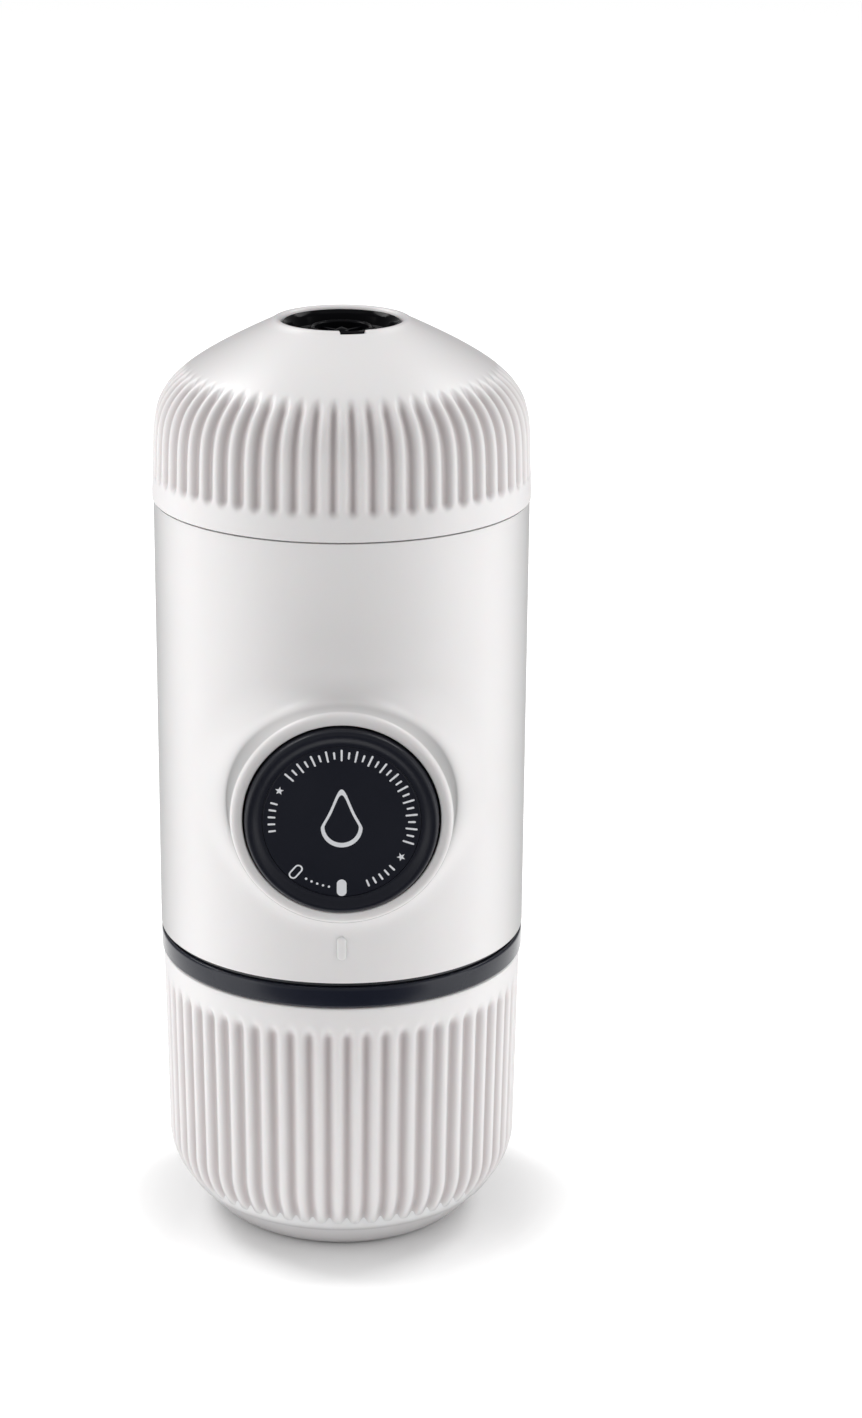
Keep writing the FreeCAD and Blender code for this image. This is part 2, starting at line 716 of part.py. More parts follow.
def shower_screen():
    """The perforated plate that spreads the water over the coffee."""
    plate = ring(18.7, 1.1, BREW_DECK_Z + 0.5, BREW_DECK_Z + 1.3)
    return plate.cut(holes(0.7, BREW_DECK_Z, BREW_DECK_Z + 2, [(7.0, 6), (13.0, 12)]))


def shower_screw():
    """The screw in the middle of the shower screen."""
    low = BREW_DECK_Z + 1.3
    screw = rod(2.6, low, low + 1.0).fuse(rod(0.95, BLOCK_HIGH_Z + 0.3, low))
    return screw.cut(Part.makeBox(4.2, 0.8, 0.6, V(-2.1, -0.4, low + 0.4)))


def brew_gasket():
    """The silicone ring that the basket is pressed against."""
    return turned([
        (18.8, BREW_DECK_Z),
        (SOCKET_RADIUS - 0.1, BREW_DECK_Z),
        (SOCKET_RADIUS - 0.1, GASKET_HIGH_Z - 0.4),
        (SOCKET_RADIUS - 0.5, GASKET_HIGH_Z),
        (19.1, GASKET_HIGH_Z),
        (18.8, GASKET_HIGH_Z - 0.3),
    ])


def filter_basket():
    """The metal basket, mouth down over the shower screen, its perforated floor on top."""
    inner = BASKET_RADIUS - BASKET_WALL
    basket = turned([
        (inner, BASKET_LOW_Z),
        (23.2, BASKET_LOW_Z),
        (23.2, BASKET_LOW_Z + 0.8),
        (BASKET_RADIUS, BASKET_LOW_Z + 0.8),
        (BASKET_RADIUS, BASKET_TOP_Z - 0.8),
        (BASKET_RADIUS - 0.8, BASKET_TOP_Z),
        (0, BASKET_TOP_Z),
        (0, BASKET_TOP_Z - BASKET_WALL),
        (inner - 0.4, BASKET_TOP_Z - BASKET_WALL),
        (inner, BASKET_TOP_Z - BASKET_WALL - 0.4),
    ])
    return basket.cut(holes(0.6, BASKET_TOP_Z - 2, BASKET_TOP_Z + 1, [(5.0, 6), (9.6, 12), (14.2, 18)]))


def scoop():
    """The measuring scoop, stored mouth down inside the basket; its flat base also tamps."""
    inner = SCOOP_RADIUS - SCOOP_WALL
    return turned([
        (inner + 0.3, BASKET_LOW_Z),
        (SCOOP_RADIUS, BASKET_LOW_Z),
        (SCOOP_RADIUS - 0.3, SCOOP_TOP_Z - 0.8),
        (SCOOP_RADIUS - 1.1, SCOOP_TOP_Z),
        (0, SCOOP_TOP_Z),
        (0, SCOOP_TOP_Z - SCOOP_WALL),
        (inner - 1.0, SCOOP_TOP_Z - SCOOP_WALL),
        (inner - 0.3, SCOOP_TOP_Z - SCOOP_WALL - 0.7),
    ])


def head_gasket():
    """The soft ring in the funnel that closes on the basket."""
    return ring(20.1, 17.6, BASKET_TOP_Z + 0.1, BASKET_TOP_Z + 1.6)


def funnel():
    """The inner cone of the head, which gathers the coffee to the nozzle."""
    return turned([
        (16.6, 134.7),
        (17.4, 134.7),
        (17.4, 135.9),
        (20.3, 135.9),
        (20.3, 134.7),
        (21.3, 134.7),
        (21.3, 136.1),
        (27.5, 136.1),
        (27.5, 138.6),
        (20.0, 138.6),
        (6.2, 147.2),
        (6.2, 150.3),
        (3.2, 150.3),
        (3.2, 146.6),
        (16.6, 137.0),
    ])


def nozzle():
    """The dark insert in the head's opening: a rimmed dish, the outlet tube and its spokes."""
    dish = turned([
        (6.3, 147.5),
        (7.6, 147.5),
        (7.6, 150.4),
        (9.65, 150.4),
        (9.65, 154.9),
        (9.3, 155.25),
        (8.0, 155.25),
        (7.7, 154.95),
        (7.3, 151.6),
        (4.85, 151.6),
        (4.65, 154.6),
        (4.45, 154.8),
        (3.95, 154.8),
        (3.75, 154.6),
        (3.75, 150.4),
        (6.3, 150.4),
    ])
    spoke = Part.makeBox(7.8, 0.7, 3.2, V(-3.9, -0.35, 151.0))
    spokes = [about_z(spoke, 30 + 60 * k) for k in range(3)]
    hub = rod(1.1, 151.0, 154.2)
    return dish.multiFuse([nozzle_tab()] + spokes + [hub])


def tank_seal():
    """The flat ring between the tank's collar and the mount."""
    return ring(28.0, 26.6, BAND_HIGH_Z + 0.05, 52.2)


def water_tank():
    """The smoked tank, open at the top where it screws on, with the groove for the cup's grip ring."""
    outer_high, outer_low, low, floor_z = 27.9, 27.2, 8.0, 9.7
    corner, inner_corner = 6.0, 4.5
    bend = 1 - math.cos(math.pi / 4)
    inner_low = outer_low - 1.7
    edges = [
        line(point(0, low), point(outer_low - corner, low)),
        arc(
            point(outer_low - corner, low),
            point(outer_low - corner * bend, low + corner * bend),
            point(outer_low, low + corner),
        ),
        line(point(outer_low, low + corner), point(27.8, 43.6)),
        line(point(27.8, 43.6), point(27.3, 43.6)),
        line(point(27.3, 43.6), point(27.3, 44.9)),
        line(point(27.3, 44.9), point(outer_high, 44.9)),
        line(point(outer_high, 44.9), point(outer_high, 50.4)),
        line(point(outer_high, 50.4), point(TANK_BORE_RADIUS, 50.4)),
        line(point(TANK_BORE_RADIUS, 50.4), point(TANK_BORE_RADIUS, 42.0)),
        line(point(TANK_BORE_RADIUS, 42.0), point(inner_low, floor_z + inner_corner)),
        arc(
            point(inner_low, floor_z + inner_corner),
            point(inner_low - inner_corner * bend, floor_z + inner_corner * bend),
            point(inner_low - inner_corner, floor_z),
        ),
        line(point(inner_low - inner_corner, floor_z), point(0, floor_z)),
        line(point(0, floor_z), point(0, low)),
    ]
    return turned_edges(edges)


def tank_collar():
    """The dark band round the tank's rim, which shows between the body and the cup."""
    band = 30.84
    return turned([
        (27.9, BAND_LOW_Z),
        (band - 0.3, BAND_LOW_Z),
        (band, BAND_LOW_Z + 0.3),
        (band, BAND_HIGH_Z - 0.45),
        (band - 0.45, BAND_HIGH_Z),
        (26.4, BAND_HIGH_Z),
        (26.4, 50.4),
        (27.9, 50.4),
    ])


def cup_grip_ring():
    """The soft ring on the tank that holds the cup on."""
    return turned([
        (27.35, 43.7),
        (27.9, 43.7),
        (28.18, 44.0),
        (28.18, 44.5),
        (27.9, 44.8),
        (27.35, 44.8),
    ])


PARTS = {
    "drinking_cup": drinking_cup,
    "water_tank": water_tank,
    "tank_collar": tank_collar,
    "tank_seal": tank_seal,
    "cup_grip_ring": cup_grip_ring,
    "body_shell": body_shell,
    "pump_block": pump_block,
    "brew_collar": brew_collar,
    "brew_collar_screws": brew_collar_screws,
    "tank_mount": tank_mount,
    "tank_mount_screws": tank_mount_screws,
    "pump_tube": pump_tube,
    "pump_cap": pump_cap,
    "pump_cap_seal": pump_cap_seal,
    "pump_cap_screws": pump_cap_screws,
    "guide_bush": guide_bush,
    "guide_wiper": guide_wiper,
    "knob_cap": knob_cap,
    "knob_face": knob_face,
    "knob_screw": knob_screw,
    "pump_sleeve": pump_sleeve,
    "plunger": plunger,
    "plunger_seal": plunger_seal,
    "spring_washer": spring_washer,
    "return_spring": return_spring,
    "inlet_valve_seat": lambda: valve_seat(BLOCK_LOW_Z),
    "inlet_valve_ball": lambda: valve_ball(BLOCK_LOW_Z),
    "inlet_valve_spring": lambda: valve_spring(63.7, 68.9),
    "inlet_strainer": inlet_strainer,
    "vent_valve": vent_valve,
    "outlet_valve_seat": lambda: valve_seat(OUTLET_SEAT_Z),
    "outlet_valve_ball": lambda: valve_ball(OUTLET_SEAT_Z),
    "outlet_valve_spring": lambda: valve_spring(102.4, 106.2),
    "outlet_valve_plug": outlet_valve_plug,
    "shower_screen": shower_screen,
    "shower_screw": shower_screw,
    "brew_gasket": brew_gasket,
    "filter_basket": filter_basket,
    "scoop": scoop,
    "head_gasket": head_gasket,
    "funnel": funnel,
    "nozzle": nozzle,
    "outlet_head": outlet_head,
}


def main():
    """Builds every piece and writes it to its own file."""
    os.makedirs("parts", exist_ok=True)
    for name, build in PARTS.items():
        shape = build()
        solids = shape.Solids
        shape = solids[0] if len(solids) == 1 else Part.makeCompound(solids)
        shape.exportStep(os.path.join("parts", name + ".step"))
        print(f"{name}: {len(solids)} solid(s), {shape.Volume:.1f} mm3, valid {shape.isValid()}")


main()
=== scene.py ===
"""Looks of the handheld manual espresso maker, standing on its drinking cup with the outlet on top.

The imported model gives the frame, the bodies and every hidden piece.  This script lays the moulded
skins over it: the ribbed head and cup, the body with its knob boss, the dish-shaped knob and its
marks, the tank's collar, the nozzle, the screw threads and the finishes.  Shapes are given in
millimetres and turned into metres when their mesh is made.
"""

import logging
import math
from dataclasses import dataclass, field, replace
from enum import Enum
from typing import Optional, Sequence, Union

import bpy
import numpy as np
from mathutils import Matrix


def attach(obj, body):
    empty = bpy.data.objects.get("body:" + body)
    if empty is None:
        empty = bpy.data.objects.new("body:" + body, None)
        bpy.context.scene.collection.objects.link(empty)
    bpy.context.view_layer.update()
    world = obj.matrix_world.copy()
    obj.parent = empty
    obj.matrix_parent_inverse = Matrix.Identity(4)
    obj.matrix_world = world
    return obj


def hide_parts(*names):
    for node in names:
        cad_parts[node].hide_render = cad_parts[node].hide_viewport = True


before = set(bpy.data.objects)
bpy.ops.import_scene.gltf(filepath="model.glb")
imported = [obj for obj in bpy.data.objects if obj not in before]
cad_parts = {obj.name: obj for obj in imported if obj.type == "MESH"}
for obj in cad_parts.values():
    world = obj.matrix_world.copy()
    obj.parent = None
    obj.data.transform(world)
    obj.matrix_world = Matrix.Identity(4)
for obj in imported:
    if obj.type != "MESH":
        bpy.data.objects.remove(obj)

log = logging.getLogger("espresso_maker")

MM = 0.001
Array = np.ndarray
Corner = tuple[float, float, float]      # radius or x, height, rounding, all in millimetres
Colour = tuple[float, float, float]      # linear red, green and blue

KNOB_AXIS_Z = 83.3
BODY_TOP_RADIUS = 31.0
BODY_FOOT_RADIUS = 30.89
BODY_LOW_Z = 52.15
BODY_HIGH_Z = 126.4
NOTCH_DEGREES = 9.5                      # the nozzle's finger tab, round from the front
THREAD_LEAD = 12.0                       # climb of each of the four starts in one turn
SCATTER_METRES = 0.0015                  # how far light runs under a white skin
COLUMNS_PER_FLUTE = 12


class Axis(Enum):
    """The line that a turned piece is turned about."""

    UPRIGHT = "the stack's own axis"
    KNOB = "the knob's axis, towards the front"


def ease(x: Array) -> Array:
    """Rises smoothly from 0 to 1 as x does: 3x squared less 2x cubed, held flat outside."""
    x = np.clip(x, 0.0, 1.0)
    return x * x * (3.0 - 2.0 * x)


def parabola(start: Array, middle: Array, end: Array, share: Array) -> Array:
    """Points of a parabola with a middle pole: (1-t)^2 start + 2t(1-t) middle + t^2 end."""
    return (1 - share) ** 2 * start + 2 * share * (1 - share) * middle + share**2 * end


def bezier(poles: Sequence, count: int) -> Array:
    """Points of a cubic Bezier curve: the sum of Bernstein weights times its four poles."""
    t = np.linspace(0.0, 1.0, count)[:, None]
    a, b, c, d = (np.asarray(p) for p in poles)
    return (1 - t) ** 3 * a + 3 * (1 - t) ** 2 * t * b + 3 * (1 - t) * t**2 * c + t**3 * d


def rounded_path(corners: Sequence[Corner], steps: int = 5, closed: bool = True) -> Array:
    """A path through corners, each rounded by a parabola between points on its two sides.

    Args:
        corners: Places with how far along both sides the rounding starts; 0 keeps a corner sharp.
        steps: How many points a rounded corner gets.
        closed: Whether the last corner joins the first.

    Returns:
        An (n, 2) array of the path's points.
    """
    places = np.array([c[:2] for c in corners], dtype=float)
    count = len(places)
    pieces = []
    share = np.linspace(0.0, 1.0, steps)[:, None]
    for i, (here, reach) in enumerate(zip(places, (c[2] for c in corners))):
        ends = not closed and i in (0, count - 1)
        if reach <= 0.0 or ends:
            pieces.append(here[None, :])
            continue
        before, after = places[i - 1] - here, places[(i + 1) % count] - here
        start = here + before * min(reach / np.linalg.norm(before), 0.49)
        end = here + after * min(reach / np.linalg.norm(after), 0.49)
        pieces.append(parabola(start, here, end, share))
    return np.concatenate(pieces)


def filled_in(path: Array, spacing: float) -> Array:
    """The same open path with points added, so that no run is longer than spacing."""
    runs = np.linalg.norm(np.diff(path, axis=0), axis=1)
    parts = []
    for here, there, run in zip(path[:-1], path[1:], runs):
        share = np.linspace(0, 1, max(1, math.ceil(run / spacing)), False)[:, None]
        parts.append(here + (there - here) * share)
    return np.concatenate(parts + [path[-1:]])


def equal_turns(count: int) -> Array:
    """Equal steps of an angle once round, in radians."""
    return np.linspace(0.0, 2.0 * math.pi, count, endpoint=False)


def round_axis(radius: Array, height: Array, angle: Array, axis: Axis = Axis.UPRIGHT) -> Array:
    """Points at a radius, a height and an angle from the front, in millimetres.

    They land on (r sin a, -r cos a, h) about the upright axis, and on
    (r sin a, h, knob height + r cos a) about the knob's axis.

    Args:
        radius: Distance from the axis.
        height: Place along the axis.
        angle: Turn about the axis, in radians.
        axis: The line to turn about.

    Returns:
        The points, in the shape that the three give together.
    """
    across, ahead = radius * np.sin(angle), radius * np.cos(angle)
    level = np.broadcast_to(height, across.shape)
    if axis is Axis.UPRIGHT:
        return np.stack([across, -ahead, level], axis=-1)
    return np.stack([across, level, KNOB_AXIS_Z + ahead], axis=-1)


def turned_grid(path: Array, columns: int, axis: Axis = Axis.UPRIGHT) -> Array:
    """Carries an (n, 2) profile of radius and height round an axis, in equal steps of the angle."""
    return round_axis(path[:, 0:1], path[:, 1:2], equal_turns(columns), axis)


def grid_faces(rows: int, columns: int, wrap_rows: bool, wrap_columns: bool) -> Array:
    """Corner numbers of the quads of a grid whose points are numbered row by row."""
    i = np.arange(rows if wrap_rows else rows - 1)[:, None]
    j = np.arange(columns if wrap_columns else columns - 1)[None, :]
    i2, j2 = (i + 1) % rows, (j + 1) % columns
    quads = np.stack([i * columns + j, i * columns + j2, i2 * columns + j2, i2 * columns + j], axis=-1)
    return quads.reshape(-1, 4)


def signed_volume(points: Array, quads: Array) -> float:
    """Volume inside closed quads, the sum of a . (b x c) / 6 of their halves; negative if inside out."""
    a, b, c, d = (points[quads[:, k]] for k in range(4))
    halves = np.einsum("ij,ij->i", a, np.cross(b, c)) + np.einsum("ij,ij->i", a, np.cross(c, d))
    return float(halves.sum() / 6.0)


@dataclass
class Shell:
    """Points and quads of a piece, in millimetres, gathered grid by grid.

    Attributes:
        points: One (n, 3) array per grid.
        quads: One (m, 4) array per grid.
        tone: One mask value per point, such as how deep a groove is there.
    """

    points: list[Array] = field(default_factory=list)
    quads: list[Array] = field(default_factory=list)
    tone: list[Array] = field(default_factory=list)

    def add(self, grid: Array, wrap_rows: bool, wrap_columns: bool, tone: Optional[Array] = None) -> "Shell":
        """Adds one grid, turned so that it faces outwards.

        Args:
            grid: (rows, columns, 3) points.
            wrap_rows: Whether the last row joins the first.
            wrap_columns: Whether the last column joins the first.
            tone: Mask values of the same rows and columns.

        Returns:
            This shell.
        """
        flat = grid.reshape(-1, 3)
        quads = grid_faces(*grid.shape[:2], wrap_rows, wrap_columns)
        inward = signed_volume(flat - flat.mean(axis=0), quads) < 0
        return self.add_open(grid, quads, inward, tone)

    def add_open(self, grid: Array, quads: Array, flip: bool, tone: Optional[Array] = None) -> "Shell":
        """Adds a grid with the given quads as they are, or turned over if flip is true."""
        start = sum(len(p) for p in self.points)
        self.points.append(grid.reshape(-1, 3))
        self.quads.append((quads[:, ::-1] if flip else quads) + start)
        mask = np.zeros(grid.shape[:2]) if tone is None else tone
        self.tone.append(mask.ravel())
        return self

    def mesh(self, name: str, sharp_degrees: float = 38.0) -> bpy.types.Object:
        """Makes the object, its poles closed and its edges sharp only past an angle.

        Args:
            name: The piece's name.
            sharp_degrees: Edges that turn by more than this stay sharp.

        Returns:
            The new object, at the origin.
        """
        points, quads = np.concatenate(self.points), np.concatenate(self.quads)
        tone = np.concatenate(self.tone)
        # points closer than a micrometre are one point: that closes poles and tapered ends
        keys = np.round(points / 1e-3).astype(np.int64)
        _, first, same = np.unique(keys, axis=0, return_index=True, return_inverse=True)
        points, tone, quads = points[first], tone[first], same.reshape(-1)[quads]
        # a repeated corner reads as -1, so that a collapsed quad is a triangle or less
        corners = np.where(quads == np.roll(quads, 1, axis=1), -1, quads)
        sizes = (corners >= 0).sum(axis=1)
        used = sizes >= 3
        corners, sizes = corners[used], sizes[used]
        data = bpy.data.meshes.new(name)
        data.vertices.add(len(points))
        data.vertices.foreach_set("co", (points * MM).astype(np.float32).ravel())
        data.loops.add(int(sizes.sum()))
        data.loops.foreach_set("vertex_index", corners[corners >= 0].astype(np.int32))
        data.polygons.add(len(sizes))
        starts = np.concatenate([[0], np.cumsum(sizes)[:-1]]).astype(np.int32)
        data.polygons.foreach_set("loop_start", starts)
        data.update(calc_edges=True)
        data.validate()
        data.polygons.foreach_set("use_smooth", np.ones(len(data.polygons), dtype=bool))
        data.set_sharp_from_angle(angle=math.radians(sharp_degrees))
        layer = data.attributes.new("groove", "FLOAT", "POINT")
        layer.data.foreach_set("value", tone.astype(np.float32))
        return linked(name, data)


def linked(name: str, data: bpy.types.ID) -> bpy.types.Object:
    """A new object for a mesh, a light or a camera, linked to the scene."""
    made = bpy.data.objects.new(name, data)
    bpy.context.scene.collection.objects.link(made)
    return made


def add_nodes(tree: bpy.types.NodeTree, *kinds: str) -> list[bpy.types.Node]:
    """New nodes of the given kinds, such as TexCoord, in order."""
    return [tree.nodes.new("ShaderNode" + kind) for kind in kinds]


def connect(tree: bpy.types.NodeTree, *pairs: tuple) -> None:
    """Links each pair of an output and an input."""
    for source, target in pairs:
        tree.links.new(source, target)


def node_group(name: str, scale: float, output: str) -> tuple:
    """A new shader node group that turns a scale into one number per point.

    Args:
        name: The group's name.
        scale: The usual value of its Scale input.
        output: The name of its output.

    Returns:
        The group, the socket that gives the scale, and the socket that takes the result.
    """
    group = bpy.data.node_groups.new(name, "ShaderNodeTree")
    given = group.interface.new_socket(name="Scale", in_out="INPUT", socket_type="NodeSocketFloat")
    given.default_value = scale
    group.interface.new_socket(name=output, in_out="OUTPUT", socket_type="NodeSocketFloat")
    start, end = group.nodes.new("NodeGroupInput"), group.nodes.new("NodeGroupOutput")
    return group, start.outputs["Scale"], end.inputs[output]


class Effects:
    """Surface effects that several finishes share, each a node group made once."""

    def __init__(self) -> None:
        """Makes the groups."""
        self.mould = self._mould_texture()
        self.handling = self._handling()
        self.rings = self._turning_rings()

    @staticmethod
    def _mould_texture() -> bpy.types.NodeTree:
        """Two sizes of fine grain: noise at Scale plus a third as much at three times Scale, as a height."""
        group, given, result = node_group("mould_texture", 3000.0, "Height")
        place, coarse_noise, fine_noise = add_nodes(group, "TexCoord", "TexNoise", "TexNoise")
        finer, mix = add_nodes(group, "Math", "Math")
        finer.operation = "MULTIPLY"
        finer.inputs[1].default_value = 3.0
        mix.operation = "MULTIPLY_ADD"
        mix.inputs[1].default_value = 0.33
        connect(group, (given, finer.inputs[0]))
        for noise, scale in ((coarse_noise, given), (fine_noise, finer.outputs[0])):
            noise.inputs["Detail"].default_value = 1.0
            connect(group, (place.outputs["Object"], noise.inputs["Vector"]), (scale, noise.inputs["Scale"]))
        connect(
            group,
            (fine_noise.outputs["Fac"], mix.inputs[0]),
            (coarse_noise.outputs["Fac"], mix.inputs[2]),
            (mix.outputs[0], result),
        )
        return group

    @staticmethod
    def _handling() -> bpy.types.NodeTree:
        """Broad soft patches where hands have polished or dulled a surface: low noise, spread to 0..1."""
        group, given, result = node_group("handling", 40.0, "Mask")
        place, noise, spread = add_nodes(group, "TexCoord", "TexNoise", "MapRange")
        noise.inputs["Detail"].default_value = 3.0
        spread.inputs["From Min"].default_value = 0.3
        spread.inputs["From Max"].default_value = 0.7
        connect(
            group,
            (place.outputs["Object"], noise.inputs["Vector"]),
            (given, noise.inputs["Scale"]),
            (noise.outputs["Fac"], spread.inputs["Value"]),
            (spread.outputs["Result"], result),
        )
        return group

    @staticmethod
    def _turning_rings() -> bpy.types.NodeTree:
        """Rings about the upright axis: noise read at (0, distance from the axis, height) times Scale."""
        group, given, result = node_group("turning_rings", 6000.0, "Height")
        place, split, flat = add_nodes(group, "TexCoord", "SeparateXYZ", "CombineXYZ")
        away, join, noise = add_nodes(group, "VectorMath", "CombineXYZ", "TexNoise")
        away.operation = "LENGTH"
        noise.inputs["Detail"].default_value = 2.0
        connect(
            group,
            (place.outputs["Object"], split.inputs[0]),
            (split.outputs["X"], flat.inputs["X"]),
            (split.outputs["Y"], flat.inputs["Y"]),
            (flat.outputs[0], away.inputs[0]),
            (away.outputs["Value"], join.inputs["Y"]),
            (split.outputs["Z"], join.inputs["Z"]),
            (join.outputs[0], noise.inputs["Vector"]),
            (given, noise.inputs["Scale"]),
            (noise.outputs["Fac"], result),
        )
        return group


@dataclass(frozen=True)
class Finish:
    """One finish of the product and how its material is made.

    Attributes:
        name: The material's name.
        slot: The record's material slot that it stands for; not used.
        colour: Linear red, green and blue.
        shade: Colour that hands and mould marks drift towards.
        roughness: Middle roughness.
        spread: How far the roughness wanders either way.
        turned: Whether it shows the rings of turning and not a mould's grain.
        grain_scale: Grains per metre.
        grain_depth: Bump height in millimetres.
        metallic: 1 for bare metal.
        clear: Share of light let through.
        groove_shade_colour: Painted shade in the bottom of the flutes, if it has flutes.
        scatter: Share of light scattered under the skin.
        shine: Strength of the clear mirror part, 0.5 for common plastics.
        rim_shade_colour: Painted shade seen at a glancing angle, which darkens the outline.
    """

    name: str
    slot: str
    colour: Colour
    shade: Colour
    roughness: float = 0.4
    spread: float = 0.05
    turned: bool = False
    grain_scale: float = 3000.0
    grain_depth: float = 0.01
    metallic: float = 0.0
    clear: float = 0.0
    groove_shade_colour: Optional[Colour] = None
    scatter: float = 0.0
    shine: float = 0.5
    rim_shade_colour: Optional[Colour] = None

    def material(self, effects: Effects) -> bpy.types.Material:
        """Builds the finish as a node material.

        Args:
            effects: The shared node groups.

        Returns:
            The material, on the Principled BSDF.
        """
        material = bpy.data.materials.new(self.name)
        material.use_nodes = True
        tree = material.node_tree
        skin = tree.nodes["Principled BSDF"]
        for label, value in (
            ("Metallic", self.metallic),
            ("Transmission Weight", self.clear),
            ("Specular IOR Level", self.shine),
            ("Subsurface Weight", self.scatter),
            ("Subsurface Scale", SCATTER_METRES),
        ):
            skin.inputs[label].default_value = value
        handling, texture, worn, bump = add_nodes(tree, "Group", "Group", "MapRange", "Bump")
        handling.node_tree = effects.handling
        texture.node_tree = effects.rings if self.turned else effects.mould
        texture.inputs["Scale"].default_value = self.grain_scale
        worn.inputs["To Min"].default_value = max(self.roughness - self.spread, 0.02)
        worn.inputs["To Max"].default_value = min(self.roughness + self.spread, 1.0)
        bump.inputs["Strength"].default_value = 1.0
        bump.inputs["Distance"].default_value = self.grain_depth * MM
        mask = handling.outputs["Mask"]
        colour = self._mixed(tree, (*self.colour, 1.0), mask, self.shade)
        connect(
            tree,
            (self._rim_shaded(tree, self._groove_shaded(tree, colour)), skin.inputs["Base Color"]),
            (mask, worn.inputs["Value"]),
            (worn.outputs["Result"], skin.inputs["Roughness"]),
            (texture.outputs["Height"], bump.inputs["Height"]),
            (bump.outputs["Normal"], skin.inputs["Normal"]),
        )
        return material

    def _groove_shaded(self, tree: bpy.types.NodeTree, colour: bpy.types.NodeSocket) -> bpy.types.NodeSocket:
        """The base colour with painted shade in the grooves: darkened towards groove_shade_colour by the
        mesh's own groove mask.
        """
        if self.groove_shade_colour is None:
            return colour
        (mask,) = add_nodes(tree, "Attribute")
        mask.attribute_name = "groove"
        return self._mixed(tree, colour, mask.outputs["Fac"], self.groove_shade_colour)

    def _rim_shaded(self, tree: bpy.types.NodeTree, colour: bpy.types.NodeSocket) -> bpy.types.NodeSocket:
        """The base colour with painted shade at the outline: drifting to rim_shade_colour where the surface
        turns away from the eye.
        """
        if self.rim_shade_colour is None:
            return colour
        facing, fade = add_nodes(tree, "LayerWeight", "MapRange")
        facing.inputs["Blend"].default_value = 0.5
        fade.interpolation_type = "SMOOTHSTEP"
        fade.inputs["From Min"].default_value = 0.38
        fade.inputs["From Max"].default_value = 1.05
        connect(tree, (facing.outputs["Facing"], fade.inputs["Value"]))
        return self._mixed(tree, colour, fade.outputs["Result"], self.rim_shade_colour)

    @staticmethod
    def _mixed(
        tree: bpy.types.NodeTree,
        colour: Union[bpy.types.NodeSocket, tuple],
        share: bpy.types.NodeSocket,
        other: Colour,
    ) -> bpy.types.NodeSocket:
        """A colour, given as a socket or as four numbers, mixed with another one by a share."""
        (mix,) = add_nodes(tree, "Mix")
        mix.data_type = "RGBA"
        mix.inputs["B"].default_value = (*other, 1.0)
        if isinstance(colour, tuple):
            mix.inputs["A"].default_value = colour
        else:
            connect(tree, (colour, mix.inputs["A"]))
        connect(tree, (share, mix.inputs["Factor"]))
        return mix.outputs["Result"]


# the warm white paints shade: groove_shade_colour darkens the flute bottoms and rim_shade_colour darkens the
# outline
SHELL_WHITE = Finish(
    "warm_white_satin", "white_shell", (0.80, 0.785, 0.785), (0.78, 0.765, 0.765),
    roughness=0.36, spread=0.02, grain_scale=3200.0, grain_depth=0.006,
    groove_shade_colour=(0.50, 0.45, 0.45), scatter=0.06, shine=0.42,
    rim_shade_colour=(0.46, 0.445, 0.45),
)
# the casing's rim_shade_colour paints strong shade along its outline
CASING_WHITE = replace(
    SHELL_WHITE, name="warm_white_casing", groove_shade_colour=None, rim_shade_colour=(0.10, 0.10, 0.10)
)
CORE_BLACK = Finish(
    "moulded_black", "dark_core", (0.016, 0.017, 0.020), (0.024, 0.025, 0.029), roughness=0.42, spread=0.08,
    grain_depth=0.012,
)
GLOSS_BLACK = Finish(
    "polished_black", "dark_core", (0.003, 0.003, 0.004), (0.005, 0.005, 0.006), roughness=0.14, spread=0.03,
    grain_depth=0.002, shine=0.04,
)
KNOB_SOFT = Finish(
    "knob_soft_black", "knob_black", (0.008, 0.009, 0.015), (0.011, 0.012, 0.019),
    roughness=0.34, spread=0.04,
    grain_scale=5000.0, grain_depth=0.004, shine=0.25,
)
BAND_NAVY = Finish(
    "collar_slate_navy", "dark_band", (0.007, 0.009, 0.017), (0.010, 0.012, 0.021),
    roughness=0.20, spread=0.03,
    grain_depth=0.003, shine=0.30,
)
SMOKE = Finish(
    "smoked_clear", "smoke_tank", (0.20, 0.21, 0.235), (0.23, 0.24, 0.26), roughness=0.10, spread=0.03,
    grain_depth=0.0002, clear=0.85,
)
STEEL = Finish(
    "spun_steel", "steel", (0.60, 0.60, 0.61), (0.52, 0.52, 0.53), roughness=0.24, spread=0.08,
    turned=True, grain_scale=5200.0, grain_depth=0.004, metallic=1.0,
)
ZINC = Finish(
    "zinc_plate", "zinc_screw", (0.58, 0.585, 0.60), (0.48, 0.485, 0.50), roughness=0.33, spread=0.1,
    grain_scale=2400.0, grain_depth=0.004, metallic=1.0,
)
SILICONE_BLACK = Finish(
    "black_silicone", "silicone", (0.020, 0.020, 0.022), (0.030, 0.030, 0.032), roughness=0.62, spread=0.08,
    grain_depth=0.008,
)
SILICONE_MILK = Finish(
    "milky_silicone", "clear_silicone", (0.62, 0.60, 0.57), (0.56, 0.54, 0.51), roughness=0.5, spread=0.06,
    grain_depth=0.008, scatter=0.3,
)
ACETAL = Finish(
    "white_acetal", "pom_white", (0.72, 0.72, 0.69), (0.66, 0.66, 0.63), roughness=0.34, spread=0.06,
    grain_depth=0.004, scatter=0.1,
)
PRINT = Finish(
    "pad_print_grey", "knob_black", (0.78, 0.79, 0.82), (0.72, 0.73, 0.76), roughness=0.5, spread=0.05,
    grain_scale=7000.0, grain_depth=0.003,
)
